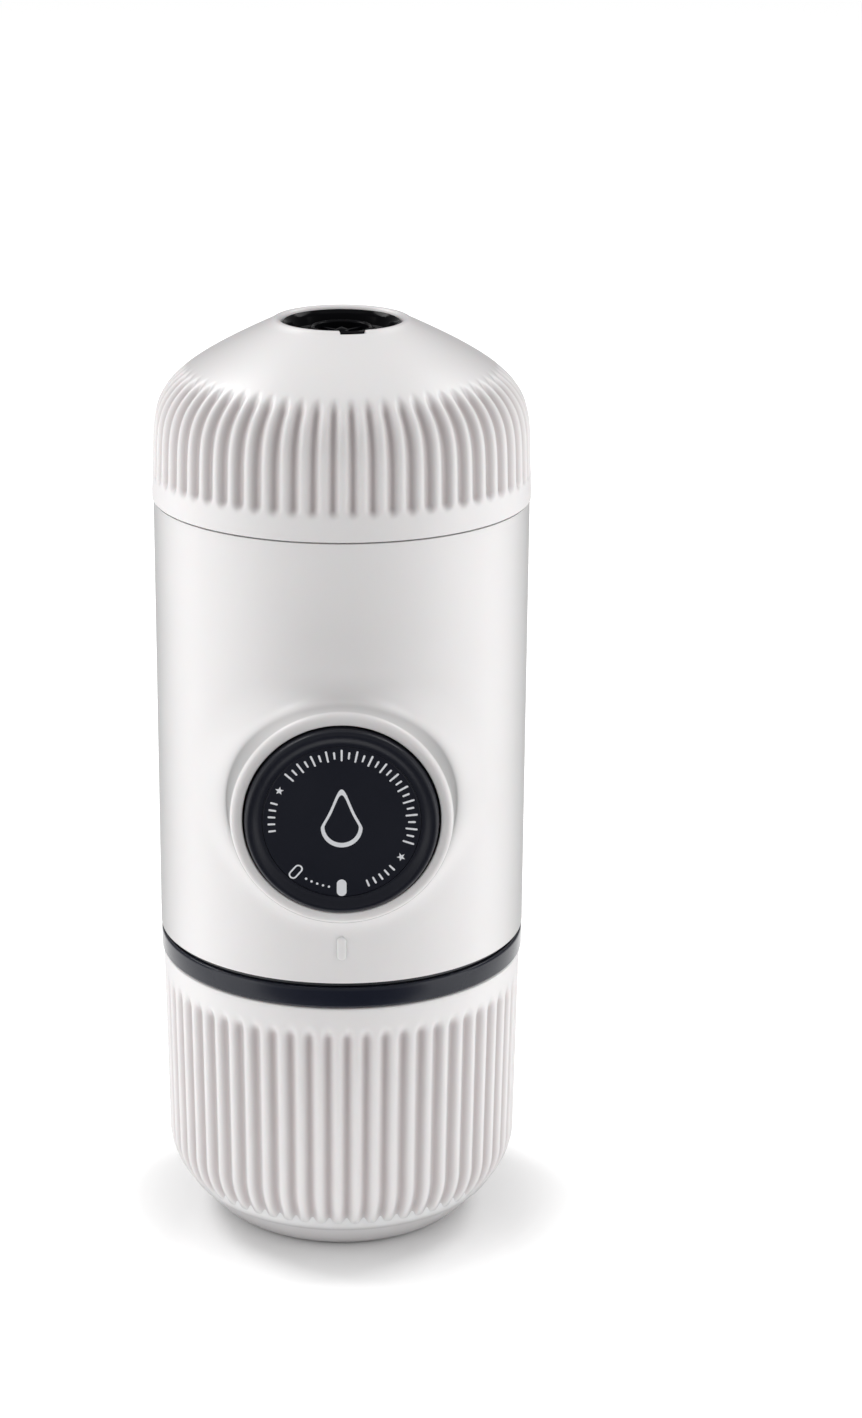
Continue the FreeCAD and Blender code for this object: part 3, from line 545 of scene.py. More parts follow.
PALE_FLOOR = Finish(
    "pale_floor", "white_shell", (0.93, 0.93, 0.93), (0.92, 0.92, 0.92), roughness=0.22, spread=0.02,
    grain_depth=0.0005,
)
FLAG_BLACK = Finish(
    "flag_black", "dark_core", (0.02, 0.02, 0.02), (0.02, 0.02, 0.02), roughness=0.9,
    grain_depth=0.0005, shine=0.1,
)


class Workshop:
    """Keeps the materials and puts finished pieces on their bodies."""

    def __init__(self) -> None:
        """Makes the shared effects."""
        self.effects = Effects()
        self.materials: dict[str, bpy.types.Material] = {}

    def finish(self, finish: Finish) -> bpy.types.Material:
        """The material of a finish, made once."""
        if finish.name not in self.materials:
            self.materials[finish.name] = finish.material(self.effects)
        return self.materials[finish.name]

    def place(self, piece: bpy.types.Object, finish: Finish, body: str, *nodes: str) -> bpy.types.Object:
        """Dresses a piece, puts it on its body and hides the frame's nodes that it replaces.

        Args:
            piece: The piece, at the origin.
            finish: Its finish.
            body: The body that it rides on.
            nodes: The frame's nodes that it replaces.

        Returns:
            The piece.
        """
        piece.data.materials.append(self.finish(finish))
        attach(piece, body)
        if nodes:
            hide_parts(*nodes)
        log.info("%s: %d faces on %s", piece.name, len(piece.data.polygons), body)
        return piece

    def carry_over(self, finish: Finish, names: Sequence[str]) -> None:
        """Gives nodes that keep their own shape a finish."""
        for name in names:
            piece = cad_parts[name]
            piece.data.materials.clear()
            piece.data.materials.append(self.finish(finish))
            log.info("%s: carried over", name)


@dataclass(frozen=True)
class TurnedPiece:
    """A piece turned from one profile of rounded corners.

    Attributes:
        name: The piece's name.
        node: The node that it stands for.
        body: The body that it rides on.
        finish: Its finish.
        corners: The profile's corners.
        steps: Points of each rounding.
        columns: Steps round.
        closed: False where the profile runs from the axis back to the axis.
        axis: The line that it is turned about.
        sharp_degrees: Edges that turn by more than this stay sharp.
    """

    name: str
    node: str
    body: str
    finish: Finish
    corners: Sequence[Corner]
    steps: int = 5
    columns: int = 160
    closed: bool = True
    axis: Axis = Axis.UPRIGHT
    sharp_degrees: float = 38.0

    def build(self, shop: Workshop) -> None:
        """Makes and places the piece."""
        grid = turned_grid(rounded_path(self.corners, self.steps, self.closed), self.columns, self.axis)
        piece = Shell().add(grid, self.closed, True).mesh(self.name, self.sharp_degrees)
        shop.place(piece, self.finish, self.body, self.node)


TURNED_PIECES = (
    # the head's inner cone with its seats, seen when the head is off
    TurnedPiece(
        "funnel_cone", "funnel", "head", CORE_BLACK,
        ((16.6, 134.7, 0.15), (17.4, 134.7, 0.15), (17.4, 135.9, 0.1), (20.3, 135.9, 0.1),
         (20.3, 134.7, 0.15), (21.3, 134.7, 0.15), (21.3, 136.1, 0.15), (27.5, 136.1, 0.2),
         (27.5, 138.6, 0.3), (20.0, 138.6, 0.8), (6.2, 147.2, 0.5), (6.2, 150.3, 0.1),
         (3.2, 150.3, 0.1), (3.2, 146.6, 0.8), (16.6, 137.0, 0.5)),
    ),
    # the knob's body: a rounded rim with a hollow for the face disc
    TurnedPiece(
        "knob_rim", "knob_cap", "piston", KNOB_SOFT,
        ((1.8, -36.6, 0.1), (3.8, -36.6, 0.1), (3.8, -38.7, 0.1), (12.64, -38.7, 0.05), (12.64, -39.42, 0.02),
         (13.2, -39.46, 0.4), (14.3, -39.99, 0.7), (15.15, -39.86, 0.5), (15.42, -39.1, 0.4),
         (15.42, -35.0, 0.2), (1.8, -35.0, 0.1)),
        steps=7, columns=192, axis=Axis.KNOB, sharp_degrees=50.0,
    ),
    # the dark band, with softened edges
    TurnedPiece(
        "tank_collar_band", "tank_collar", "tank", BAND_NAVY,
        ((27.9, 47.72, 0.1), (30.84, 47.72, 0.45), (30.84, 51.3, 0.55), (26.4, 51.3, 0.2), (26.4, 50.4, 0),
         (27.9, 50.4, 0)),
        steps=8, columns=240,
    ),
    # the tank: one thin wall with a rounded floor and the grip ring's groove
    TurnedPiece(
        "tank_wall", "water_tank", "tank", SMOKE,
        ((0.0, 8.0, 0), (27.2, 8.0, 6.0), (27.8, 43.6, 0.1), (27.3, 43.6, 0.05), (27.3, 44.9, 0.05),
         (27.9, 44.9, 0.1), (27.9, 50.4, 0), (26.1, 50.4, 0), (26.1, 42.0, 0.4), (25.5, 9.7, 4.5),
         (0.0, 9.7, 0)),
        steps=11, columns=200, closed=False,
    ),
    # the scoop, stored mouth down with its flat base, which tamps, on top
    TurnedPiece(
        "scoop_bowl", "scoop", "scoop_body", CORE_BLACK,
        ((18.6, 115.1, 0.3), (19.5, 115.1, 0.3), (19.2, 132.9, 1.1), (0.0, 132.9, 0), (0.0, 131.7, 0),
         (18.0, 131.7, 1.0)),
        steps=7,
    ),
)


@dataclass
class Flutes:
    """A ring of grooves between ribs.

    Attributes:
        count: Grooves all round.
        phase_degrees: Where the first groove lies, round from the front.
        depth: Depth of a groove in millimetres.
        power: Over 1 narrows the bottom of a groove.
    """

    count: int
    phase_degrees: float
    depth: float
    power: float = 1.35

    def cut(self, angle: Array, past_end: Array) -> Array:
        """How deep the surface lies, from 0 on a rib to 1 in a groove.

        It is ease(1 - d) to the power, and d squared is the sum of two squares, of the distance from the
        groove's middle and of the distance past its end, so that its ends are rounded.

        Args:
            angle: Angle round from the front, in radians, one value per column.
            past_end: Distance past the groove's end as a share of the run-out, one value per row.

        Returns:
            A (rows, columns) array.
        """
        turn = (angle - math.radians(self.phase_degrees)) * self.count / (2 * math.pi)
        aside = 2.0 * np.abs(turn - np.round(turn))
        away = np.sqrt(aside[None, :] ** 2 + past_end[:, None] ** 2)
        return ease(1.0 - away) ** self.power


def path_normals(path: Array) -> Array:
    """Unit normals of an open (radius, height) path, to the right of its direction."""
    along = np.gradient(path, axis=0)
    along /= np.linalg.norm(along, axis=1)[:, None]
    return np.stack([along[:, 1], -along[:, 0]], axis=1)


def fluted_grid(skin: Array, rest: Array, flutes: Flutes, past_end: Array) -> tuple[Array, Array]:
    """Turns a skin with flutes and the plain rest of its wall into one grid.

    Each skin point moves against the skin's normal by the flutes' depth times their cut.

    Args:
        skin: (n, 2) profile of the outside, going up.
        rest: (m, 2) profile that goes on from the skin's end.
        flutes: The flutes.
        past_end: Distance past the flutes' ends for each skin point.

    Returns:
        The grid and its groove mask.
    """
    columns = flutes.count * COLUMNS_PER_FLUTE
    angle = equal_turns(columns)
    cut = flutes.cut(angle, past_end)
    normals = path_normals(skin)
    radius = skin[:, 0:1] - normals[:, 0:1] * flutes.depth * cut
    height = skin[:, 1:2] - normals[:, 1:2] * flutes.depth * cut
    grid = np.concatenate([round_axis(radius, height, angle), turned_grid(rest, columns)])
    tone = np.concatenate([cut, np.zeros((len(rest), columns))])
    return grid, tone


@dataclass
class OutletHead:
    """The domed head with its ribs, lip and notch, and the nozzle.

    Attributes:
        foot_radius: Radius at the seam with the body.
        foot_z: Height of that seam.
        bend: Poles of the curve from the skirt over the shoulder to the lip.
        lip: Poles of the lip's rounding into the opening.
        flute_low: Where the grooves end above the seam, and their run-out below.
        flute_high: Radius where the grooves fade on the shoulder, and their run-out inwards.
    """

    foot_radius: float = 31.24
    foot_z: float = 126.66
    bend: tuple = ((31.05, 131.8), (30.6, 143.88), (32.07, 145.7), (11.54, 155.6))
    lip: tuple = ((11.54, 155.6), (10.95, 156.2), (10.05, 156.2), (9.8, 155.2))
    flute_low: tuple = (131.9, 1.9)
    flute_high: tuple = (27.6, 3.4)
    flutes: Flutes = field(default_factory=lambda: Flutes(62, -2.54, 0.80))

    def skin(self) -> Array:
        """The outside profile, from the seam up to the opening's edge."""
        skirt = rounded_path(
            [(self.foot_radius - 0.25, self.foot_z, 0), (self.foot_radius, self.foot_z, 0.12),
             (*self.bend[0], 0)],
            closed=False,
        )
        return np.concatenate([filled_in(skirt, 0.30), bezier(self.bend, 64)[1:], bezier(self.lip, 9)[1:]])

    def shell(self) -> bpy.types.Object:
        """The white shell: fluted skin, notched lip and hollow inside."""
        skin = self.skin()
        low_z, low_run = self.flute_low
        high_r, high_run = self.flute_high
        past = np.maximum((low_z - skin[:, 1]) / low_run, (high_r - skin[:, 0]) / high_run)
        rest = rounded_path(
            [(9.8, 149.4, 0.2), (12.0, 149.4, 0), (13.0, 151.9, 0), (24.0, 146.2, 0.5), (27.6, 141.4, 0.5),
             (27.6, 135.8, 0.2), (28.9, 135.8, 0), (28.9, 127.1, 0), (29.2, 126.66, 0)],
            steps=4, closed=False,
        )
        rest = np.concatenate([[[9.8, 154.0], [9.8, 152.4]], rest])
        grid, tone = fluted_grid(skin, rest, self.flutes, np.maximum(past, 0.0))
        return Shell().add(self._notched(grid), True, True, tone).mesh("head_shell")

    @staticmethod
    def _notched(grid: Array) -> Array:
        """The grid with the lip lowered to the notch's floor over the nozzle's tab.

        Past the half width the notch's sides rise over the distance called side.
        """
        half, floor_z, side = 1.85, 154.95, 0.3
        turn = math.radians(NOTCH_DEGREES)
        across = grid[..., 0] * math.cos(turn) + grid[..., 1] * math.sin(turn)
        ahead = grid[..., 0] * math.sin(turn) - grid[..., 1] * math.cos(turn)
        open_share = 1.0 - ease((np.abs(across) - half) / side)
        on_lip = np.hypot(grid[..., 0], grid[..., 1]) < 11.4
        near = (ahead > 0) & (grid[..., 2] > floor_z) & on_lip
        lowered = np.minimum(grid[..., 2], floor_z + (grid[..., 2] - floor_z) * (1.0 - open_share))
        out = grid.copy()
        out[..., 2] = np.where(near, lowered, grid[..., 2])
        return out

    def nozzle(self) -> bpy.types.Object:
        """The dark insert: a rimmed dish, a spoked outlet tube and the finger tab."""
        dish = rounded_path(
            [(6.3, 147.5, 0.1), (7.6, 147.5, 0.1), (7.6, 150.4, 0.1), (9.7, 150.4, 0.1), (9.7, 155.4, 0.2),
             (9.35, 155.55, 0.1), (8.75, 154.9, 0.25), (8.2, 153.4, 0.15), (7.7, 153.3, 0.15),
             (7.45, 151.6, 0.4), (5.3, 151.6, 0.3), (5.1, 154.5, 0.15), (4.8, 154.7, 0.1),
             (4.4, 154.5, 0.15), (4.2, 150.4, 0.1), (6.3, 150.4, 0.1)],
        )
        shell = Shell().add(turned_grid(dish, 144), True, True)
        for k in range(4):
            shell.add(self._bar(90.0 * k + 45.0, 0.9, 4.3, 0.32, 151.2, 153.9), True, False)
        hub = rounded_path(
            [(0.0, 151.0, 0), (1.25, 151.0, 0.1), (1.25, 154.0, 0.4), (0.0, 154.5, 0)], closed=False
        )
        shell.add(turned_grid(hub, 40), False, True)
        shell.add(self._bar(NOTCH_DEGREES - 90.0, 8.5, 10.72, 1.75, 153.6, 155.2), True, False)
        return shell.mesh("nozzle_insert")

    @staticmethod
    def _bar(degrees: float, start: float, end: float, half: float, low: float, high: float) -> Array:
        """A closed bar that runs outwards at an angle, with a rounded section and flat ends."""
        section = rounded_path(
            [(-half, low, 0.12), (half, low, 0.12), (half, high, 0.12), (-half, high, 0.12)], steps=3
        )
        middle = np.array([0.0, (low + high) / 2])
        stations = ((start, 0.0), (start, 1.0), (end - 0.1, 1.0), (end, 0.94), (end, 0.0))
        a = math.radians(degrees)
        along, aside = np.array([math.cos(a), math.sin(a)]), np.array([-math.sin(a), math.cos(a)])
        rings = []
        for reach, scale in stations:
            flat = middle + (section - middle) * scale
            spot = along * reach + flat[:, 0:1] * aside
            rings.append(np.concatenate([spot, flat[:, 1:2]], axis=1))
        return np.stack(rings, axis=1)

    def build(self, shop: Workshop) -> None:
        """Makes and places the head and the nozzle."""
        shop.place(self.shell(), SHELL_WHITE, "head", "outlet_head")
        shop.place(self.nozzle(), GLOSS_BLACK, "nozzle_body", "nozzle")


@dataclass(frozen=True)
class Thread:
    """Four equal thread starts, each a low rounded ridge.

    Attributes:
        name: The piece's name.
        body: The body that it rides on.
        finish: Its finish.
        radius: Radius of the wall that carries it, in millimetres.
        height: How far the crown stands off the wall; negative points inwards.
        low: Height of the ridge's foot at its start.
        start_degrees: Angle of the first start.
        rise: How far each ridge climbs.
    """

    name: str
    body: str
    finish: Finish
    radius: float
    height: float
    low: float
    start_degrees: float
    rise: float = 4.6

    def build(self, shop: Workshop) -> None:
        """Makes and places the four ridges as one piece.

        At share s along a ridge its angle is start + 360 rise s / lead degrees, its foot is on the wall
        and its crown stands height off it, shrinking to nothing over the first and last eighth.
        """
        share = np.linspace(0.0, 1.0, 61)
        taper = np.sqrt(ease(np.minimum(share, 1.0 - share) * 8.0))
        crown = np.array([[-0.15], [0.0], [0.85], [1.0], [0.85], [0.0], [-0.15]])
        aside = np.array([[-0.75], [-0.7], [-0.3], [0.0], [0.3], [0.7], [0.75]])
        off = self.radius + self.height * crown * taper
        level = self.low + self.rise * share + aside * taper
        shell = Shell()
        for k in range(4):
            angle = np.radians(self.start_degrees + 90.0 * k) + 2 * math.pi * self.rise * share / THREAD_LEAD
            shell.add(round_axis(off, level, angle), True, False)
        shop.place(shell.mesh(self.name, 60.0), self.finish, self.body)


THREADS = (
    Thread("head_thread", "head", SHELL_WHITE, 28.93, -0.34, 127.6, 24.0),
    Thread("brew_collar_thread", "main", CORE_BLACK, 28.17, 0.33, 127.9, 0.0),
    Thread("tank_mount_thread", "main", CORE_BLACK, 25.47, 0.27, 44.6, 0.0),
    Thread("tank_thread", "tank", SMOKE, 26.13, -0.27, 43.4, 24.0),
)


@dataclass
class Body:
    """The smooth body with its knob boss and index mark.

    Attributes:
        boss_bore: Radius of the hole that the knob sits in.
        boss_front_y: Where the boss ends towards the front.
        boss_radius: Radius of the boss at its front edge.
        boss_spread: How much wider the boss is per millimetre back.
        blend: How far the hollow blend reaches along the boss and along the body.
        edge: Height of the softened edge at the casing's top and foot.
    """

    boss_bore: float = 15.72
    boss_front_y: float = -38.6
    boss_radius: float = 17.7
    boss_spread: float = 0.09
    blend: tuple = (5.0, 5.0)
    edge: float = 0.25

    @staticmethod
    def _radius_at(z: Array) -> Array:
        """Radius of the body at a height, which grows evenly from its foot to its top."""
        share = (z - BODY_LOW_Z) / (BODY_HIGH_Z - BODY_LOW_Z)
        return BODY_FOOT_RADIUS + (BODY_TOP_RADIUS - BODY_FOOT_RADIUS) * share

    def _on_body(self, out: Array, phi: Array) -> Array:
        """Depth y of the body's skin at distance out from the knob's axis, phi up from the right."""
        x, z = out * np.cos(phi), KNOB_AXIS_Z + out * np.sin(phi)
        return -np.sqrt(self._radius_at(z) ** 2 - x**2)

    def _boss_rows(self, phi: Array) -> Array:
        """Rows of (out, y) from the bore over the boss's lip and side, and down its blend to the body.

        The blend is a parabola from a point on the boss's side to a point on the body. Its middle pole is
        on the body's own tangent, so that it runs out without an edge.
        """
        lip = rounded_path(
            [(self.boss_bore, -31.5, 0), (self.boss_bore, self.boss_front_y, 0.25),
             (self.boss_radius, self.boss_front_y, 1.05),
             (self.boss_radius + 0.35, self.boss_front_y + 4.0, 0)],
            steps=9, closed=False,
        )[:-1]
        rows = [np.broadcast_to(p, (len(phi), 2)) for p in lip]
        meet = np.full(len(phi), self.boss_radius + 0.6)
        for _ in range(12):
            meet = self.boss_radius + self.boss_spread * (self._on_body(meet, phi) - self.boss_front_y)
        meet_y = self._on_body(meet, phi)
        up, along = self.blend
        up = np.minimum(up, 0.72 * (meet_y - self.boss_front_y - 1.0))
        start = np.stack([meet - self.boss_spread * up, meet_y - up], axis=1)
        end_out = meet + along
        end = np.stack([end_out, self._on_body(end_out, phi)], axis=1)
        slope = (self._on_body(end_out, phi) - self._on_body(end_out - 0.01, phi)) / 0.01
        pole_out = start[:, 0] + self.boss_spread * 0.5 * up
        pole = np.stack([pole_out, end[:, 1] - slope * (end_out - pole_out)], axis=1)
        rows += [parabola(start, pole, end, share) for share in np.linspace(0.0, 1.0, 15)]
        return np.stack(rows)

    def shell(self) -> bpy.types.Object:
        """The white casing: boss rows near the knob, then rays that open out over the whole barrel.

        Past the blend each ray runs, unrolled flat, from the boss's circle to the edge of the
        barrel's own rectangle, half way round behind and to its upper and lower rim.  The rims and the
        inner wall near them follow.
        """
        phi = equal_turns(480)
        out, depth = np.moveaxis(self._boss_rows(phi), -1, 0)
        boss = np.stack([out * np.cos(phi), depth, KNOB_AXIS_Z + out * np.sin(phi)], axis=-1)
        last = boss[-1]
        around = np.arctan2(last[:, 0], -last[:, 1])
        top, low = BODY_HIGH_Z - self.edge, BODY_LOW_Z + self.edge
        reach = np.maximum(np.abs(np.cos(phi)), np.abs(np.sin(phi)))
        edge_turn = np.cos(phi) * math.pi * BODY_TOP_RADIUS / reach / BODY_TOP_RADIUS
        rise = np.where(np.sin(phi) > 0, top - KNOB_AXIS_Z, KNOB_AXIS_Z - low)
        edge_z = KNOB_AXIS_Z + rise * np.sin(phi) / reach
        share = np.linspace(0.0, 1.0, 70)[1:, None] ** 1.25
        height = last[:, 2] + (edge_z - last[:, 2]) * share
        barrel = round_axis(self._radius_at(height), height, around + (edge_turn - around) * share)
        outside = np.concatenate([boss, barrel])
        # these rows run round the other way than a turned grid's, so their quads are turned over
        shell = Shell().add_open(outside, grid_faces(*outside.shape[:2], False, True), True)
        rims = (
            [(31.0, top, 0), (30.99, BODY_HIGH_Z - 0.05, 0), (30.8, BODY_HIGH_Z, 0),
             (28.35, BODY_HIGH_Z, 0.1), (28.35, 124.0, 0), (28.9, 124.0, 0), (28.9, 104.0, 0)],
            [(28.9, 63.0, 0), (28.9, BODY_LOW_Z, 0.1), (30.7, BODY_LOW_Z, 0), (30.87, BODY_LOW_Z + 0.05, 0),
             (30.89, low, 0)],
        )
        for rim in rims:
            grid = turned_grid(rounded_path(rim, steps=4, closed=False), 240)
            shell.add_open(grid, grid_faces(*grid.shape[:2], False, True), False)
        return shell.mesh("body_casing")

    def index_mark(self) -> bpy.types.Object:
        """The raised pill below the knob: a dome a third of a millimetre high over a rounded bar."""
        low, high, half = 56.2, 60.4, 0.8
        ring = equal_turns(48)
        span = (high - low) / 2 - half
        centre = np.where(np.sin(ring) > 0, span, -span)
        rise = np.array([-0.3, 0.0, 0.16, 0.26, 0.31, 0.33])[:, None]
        size = np.array([1.0, 1.0, 0.94, 0.8, 0.5, 0.0])[:, None]
        x = half * np.cos(ring) * size
        z = (low + high) / 2 + half * np.sin(ring) * size + centre * np.where(size > 0, 1.0, 0.96)
        y = -(self._radius_at(z) + rise - x**2 / 62.0)
        return Shell().add(np.stack([x, y, z], axis=-1), False, True).mesh("index_mark", 50.0)

    def build(self, shop: Workshop) -> None:
        """Makes and places the casing and its mark."""
        shop.place(self.shell(), CASING_WHITE, "main", "body_shell")
        shop.place(self.index_mark(), CASING_WHITE, "main")


@dataclass
class Knob:
    """The face, printed marks and sleeve of the knob, which is also the pump's handle.

    Attributes:
        face_y: Depth of the face's edge.
        face_radius: Radius of the face disc.
        dish: How deep the face is dished.
        film: How far the print stands off the face.
        mark_radius: Radius of the ring that the marks stand on.
    """

    face_y: float = -39.4
    face_radius: float = 12.6
    dish: float = 0.12
    film: float = 0.012
    mark_radius: float = 11.1

    def _face_depth(self, out: Array) -> Array:
        """Depth y of the face at a distance from the knob's axis, a parabola."""
        return self.face_y + self.dish * (1.0 - (out / self.face_radius) ** 2)

    def face(self) -> bpy.types.Object:
        """The face disc."""
        out = np.linspace(0.0, self.face_radius - 0.15, 24)
        front = np.stack([out, self._face_depth(out)], axis=1)
        back_y = -38.75
        back = [[self.face_radius, self.face_y + self.dish], [self.face_radius, back_y], [0.0, back_y]]
        path = np.concatenate([front, back])
        return Shell().add(turned_grid(path, 192, Axis.KNOB), False, True).mesh("knob_face_disc")

    def _print(self, shell: Shell, outer: Array, inner: Optional[Array] = None) -> None:
        """Adds a print film that faces the front, between two outlines or filling one.

        Args:
            shell: Where it goes.
            outer: (n, 2) closed outline of x and z from the knob's axis.
            inner: An outline with as many points, or None for the outer one's middle.
        """
        middle = outer.mean(axis=0) if inner is None else inner
        flat = np.stack([outer, np.broadcast_to(middle, outer.shape)])
        depth = self._face_depth(np.linalg.norm(flat, axis=-1)) - self.film
        grid = np.stack([flat[..., 0], depth, KNOB_AXIS_Z + flat[..., 1]], axis=-1)
        quads = grid_faces(2, len(outer), False, True)
        a, b, c = (grid.reshape(-1, 3)[quads[:, k]] for k in range(3))
        shell.add_open(grid, quads, np.cross(b - a, c - a)[:, 1].sum() > 0)

    def _at(self, clock_degrees: float, outline: Array) -> Array:
        """An upright outline at the origin, moved out to the marks' ring and clockwise from 12 o'clock."""
        a = math.radians(clock_degrees)
        x, z = outline[:, 0], outline[:, 1] + self.mark_radius
        return np.stack([x * math.cos(a) + z * math.sin(a), z * math.cos(a) - x * math.sin(a)], axis=1)

    @staticmethod
    def _pill(half: float, span: float, count: int = 40) -> Array:
        """A rounded bar: a circle of radius half, its halves moved up and down by span."""
        a = equal_turns(count)
        return np.stack([half * np.cos(a), half * np.sin(a) + np.where(np.sin(a) >= 0, span, -span)], axis=1)

    @staticmethod
    def _star(outer: float, inner: float) -> Array:
        """A five-pointed star: ten points, every other one at the inner radius."""
        a = equal_turns(10)
        reach = np.where(np.arange(10) % 2 == 0, outer, inner)
        return np.stack([reach * np.sin(a), reach * np.cos(a)], axis=1)

    @staticmethod
    def _drop(size: float) -> Array:
        """A drop: a circle whose top is drawn up to a point by the fourth power of the cosine."""
        a = equal_turns(64)
        up = np.cos(a)
        over = np.clip(up, 0.0, 1.0)
        across = size * np.sin(a) * (1.0 - 0.35 * over)
        return np.stack([across, size * (up + 0.95 * over**4) - 0.3 * size], axis=1)

    def marks(self) -> bpy.types.Object:
        """Plain marks: a full and a hollow pill with dots between, stars, ticks round the rest and a drop."""
        pill, dot, star = self._pill(0.78, 0.62), self._pill(0.2, 0.0, 14), self._star(0.72, 0.3)
        short, long = self._pill(0.17, 0.45, 12), self._pill(0.17, 0.80, 12)
        shapes = [self._at(180.0, pill)]
        shapes += [self._at(degrees, dot) for degrees in (190.5, 195.5, 200.5, 205.5, 210.5)]
        shapes += [self._at(degrees, star) for degrees in (-62.0, 122.0)]
        for degrees in np.arange(-48.0, 109.0, 6.0):
            shapes.append(self._at(degrees, short if degrees % 12.0 else long))
        for degrees in (-74.0, -80.0, -86.0, -92.0, -98.0, 134.0, 140.0, 146.0, 152.0, 158.0):
            shapes.append(self._at(degrees, short))
        shell = Shell()
        for outline in shapes:
            self._print(shell, outline)
        self._print(shell, *(self._at(221.0, self._pill(half, 0.62)) for half in (0.72, 0.46)))
        self._print(shell, self._drop(3.3), self._drop(2.72))
        return shell.mesh("knob_marks")

    def sleeve(self) -> bpy.types.Object:
        """The wide tube behind the knob, with a lock lug on each side."""
        tube = rounded_path([(11.8, -35.0, 0.1), (13.6, -35.0, 0.1), (13.6, 6.8, 0.3), (11.8, 6.8, 0.3)])
        shell = Shell().add(turned_grid(tube, 144, Axis.KNOB), True, True)
        lug = rounded_path([(13.4, 4.8, 0), (15.1, 4.8, 0.3), (15.1, 6.8, 0.3), (13.4, 6.8, 0)], steps=3)
        swing = math.asin(4.0 / 15.1)
        for side in (0.0, math.pi):
            angle = side + math.pi / 2 + np.linspace(-swing, swing, 13)
            grid = round_axis(lug[:, 0:1], lug[:, 1:2], angle, Axis.KNOB)
            middles = np.broadcast_to(grid.mean(axis=0), grid.shape)
            capped = np.concatenate([middles[:, :1], grid, middles[:, -1:]], axis=1)
            shell.add(capped, True, False)
        return shell.mesh("pump_sleeve_tube")

    def build(self, shop: Workshop) -> None:
        """Makes and places the face, the marks and the sleeve."""
        shop.place(self.face(), KNOB_SOFT, "piston", "knob_face")
        shop.place(self.marks(), PRINT, "piston")
        shop.place(self.sleeve(), ACETAL, "piston", "pump_sleeve")


@dataclass
class DrinkingCup:
    """The ribbed cup that the maker stands on.

    Attributes:
        rim_radius: Radius of the cup at its rim.
        rim_z: Height of the rim.
        shoulder_radius: Radius where the bend to the foot starts.
        shoulder_z: Height where it starts.
        bend: Radius of the bend.
        turn_degrees: How far the bend turns from the wall.
        flute_high: Height where the grooves end below the rim, and their run-out above.
        flute_low: Radius where the grooves end on the bend, and their run-out inwards.
    """

    rim_radius: float = 30.54
    rim_z: float = 47.55
    shoulder_radius: float = 29.95
    shoulder_z: float = 14.5
    bend: float = 11.7
    turn_degrees: float = 40.0
    flute_high: tuple = (41.6, 2.6)
    flute_low: tuple = (28.9, 3.4)
    flutes: Flutes = field(default_factory=lambda: Flutes(60, 1.75, 0.80))

    def skin(self) -> Array:
        """The cup's outside, from the middle of its foot up to its rim.

        The bend is an arc, and a cubic Bezier curve carries it on until it lies flat on the table.
        """
        turn = math.radians(self.turn_degrees)
        a = np.linspace(turn, 0.0, 26)
        centre = self.shoulder_radius - self.bend
        arc = np.stack([centre + self.bend * np.cos(a), self.shoulder_z - self.bend * np.sin(a)], axis=1)
        lead = arc[0] - 7.2 * np.array([math.sin(turn), math.cos(turn)])
        edge = bezier([(19.7, 0.0), (21.3, 0.0), lead, arc[0]], 22)
        rim = rounded_path(
            [(self.shoulder_radius, self.shoulder_z, 0), (self.rim_radius, self.rim_z, 0.45),
             (29.4, self.rim_z, 0)],
            7, False,
        )
        wall = filled_in(rim[:2], 0.75)
        return np.concatenate([[[0.0, 0.0], [12.0, 0.0]], edge[:-1], arc, wall[1:], rim[2:]])

    def shell(self) -> bpy.types.Object:
        """The white cup: fluted outside and a smooth inside with a rounded floor."""
        skin = self.skin()
        high_z, high_run = self.flute_high
        low_r, low_run = self.flute_low
        on_bend = skin[:, 1] < self.shoulder_z
        past = np.where(on_bend, (low_r - skin[:, 0]) / low_run, (skin[:, 1] - high_z) / high_run)
        inside = rounded_path(
            [(28.3, self.rim_z, 0.4), (27.7, 10.6, 2.0), (27.0, 5.2, 3.2), (19.7, 2.6, 3.0), (0.0, 2.6, 0)],
            9, False,
        )
        grid, tone = fluted_grid(skin, inside, self.flutes, np.maximum(past, 0.0))
        return Shell().add(grid, False, True, tone).mesh("cup_shell")

    def build(self, shop: Workshop) -> None:
        """Makes and places the cup."""
        shop.place(self.shell(), SHELL_WHITE, "cup", "drinking_cup")


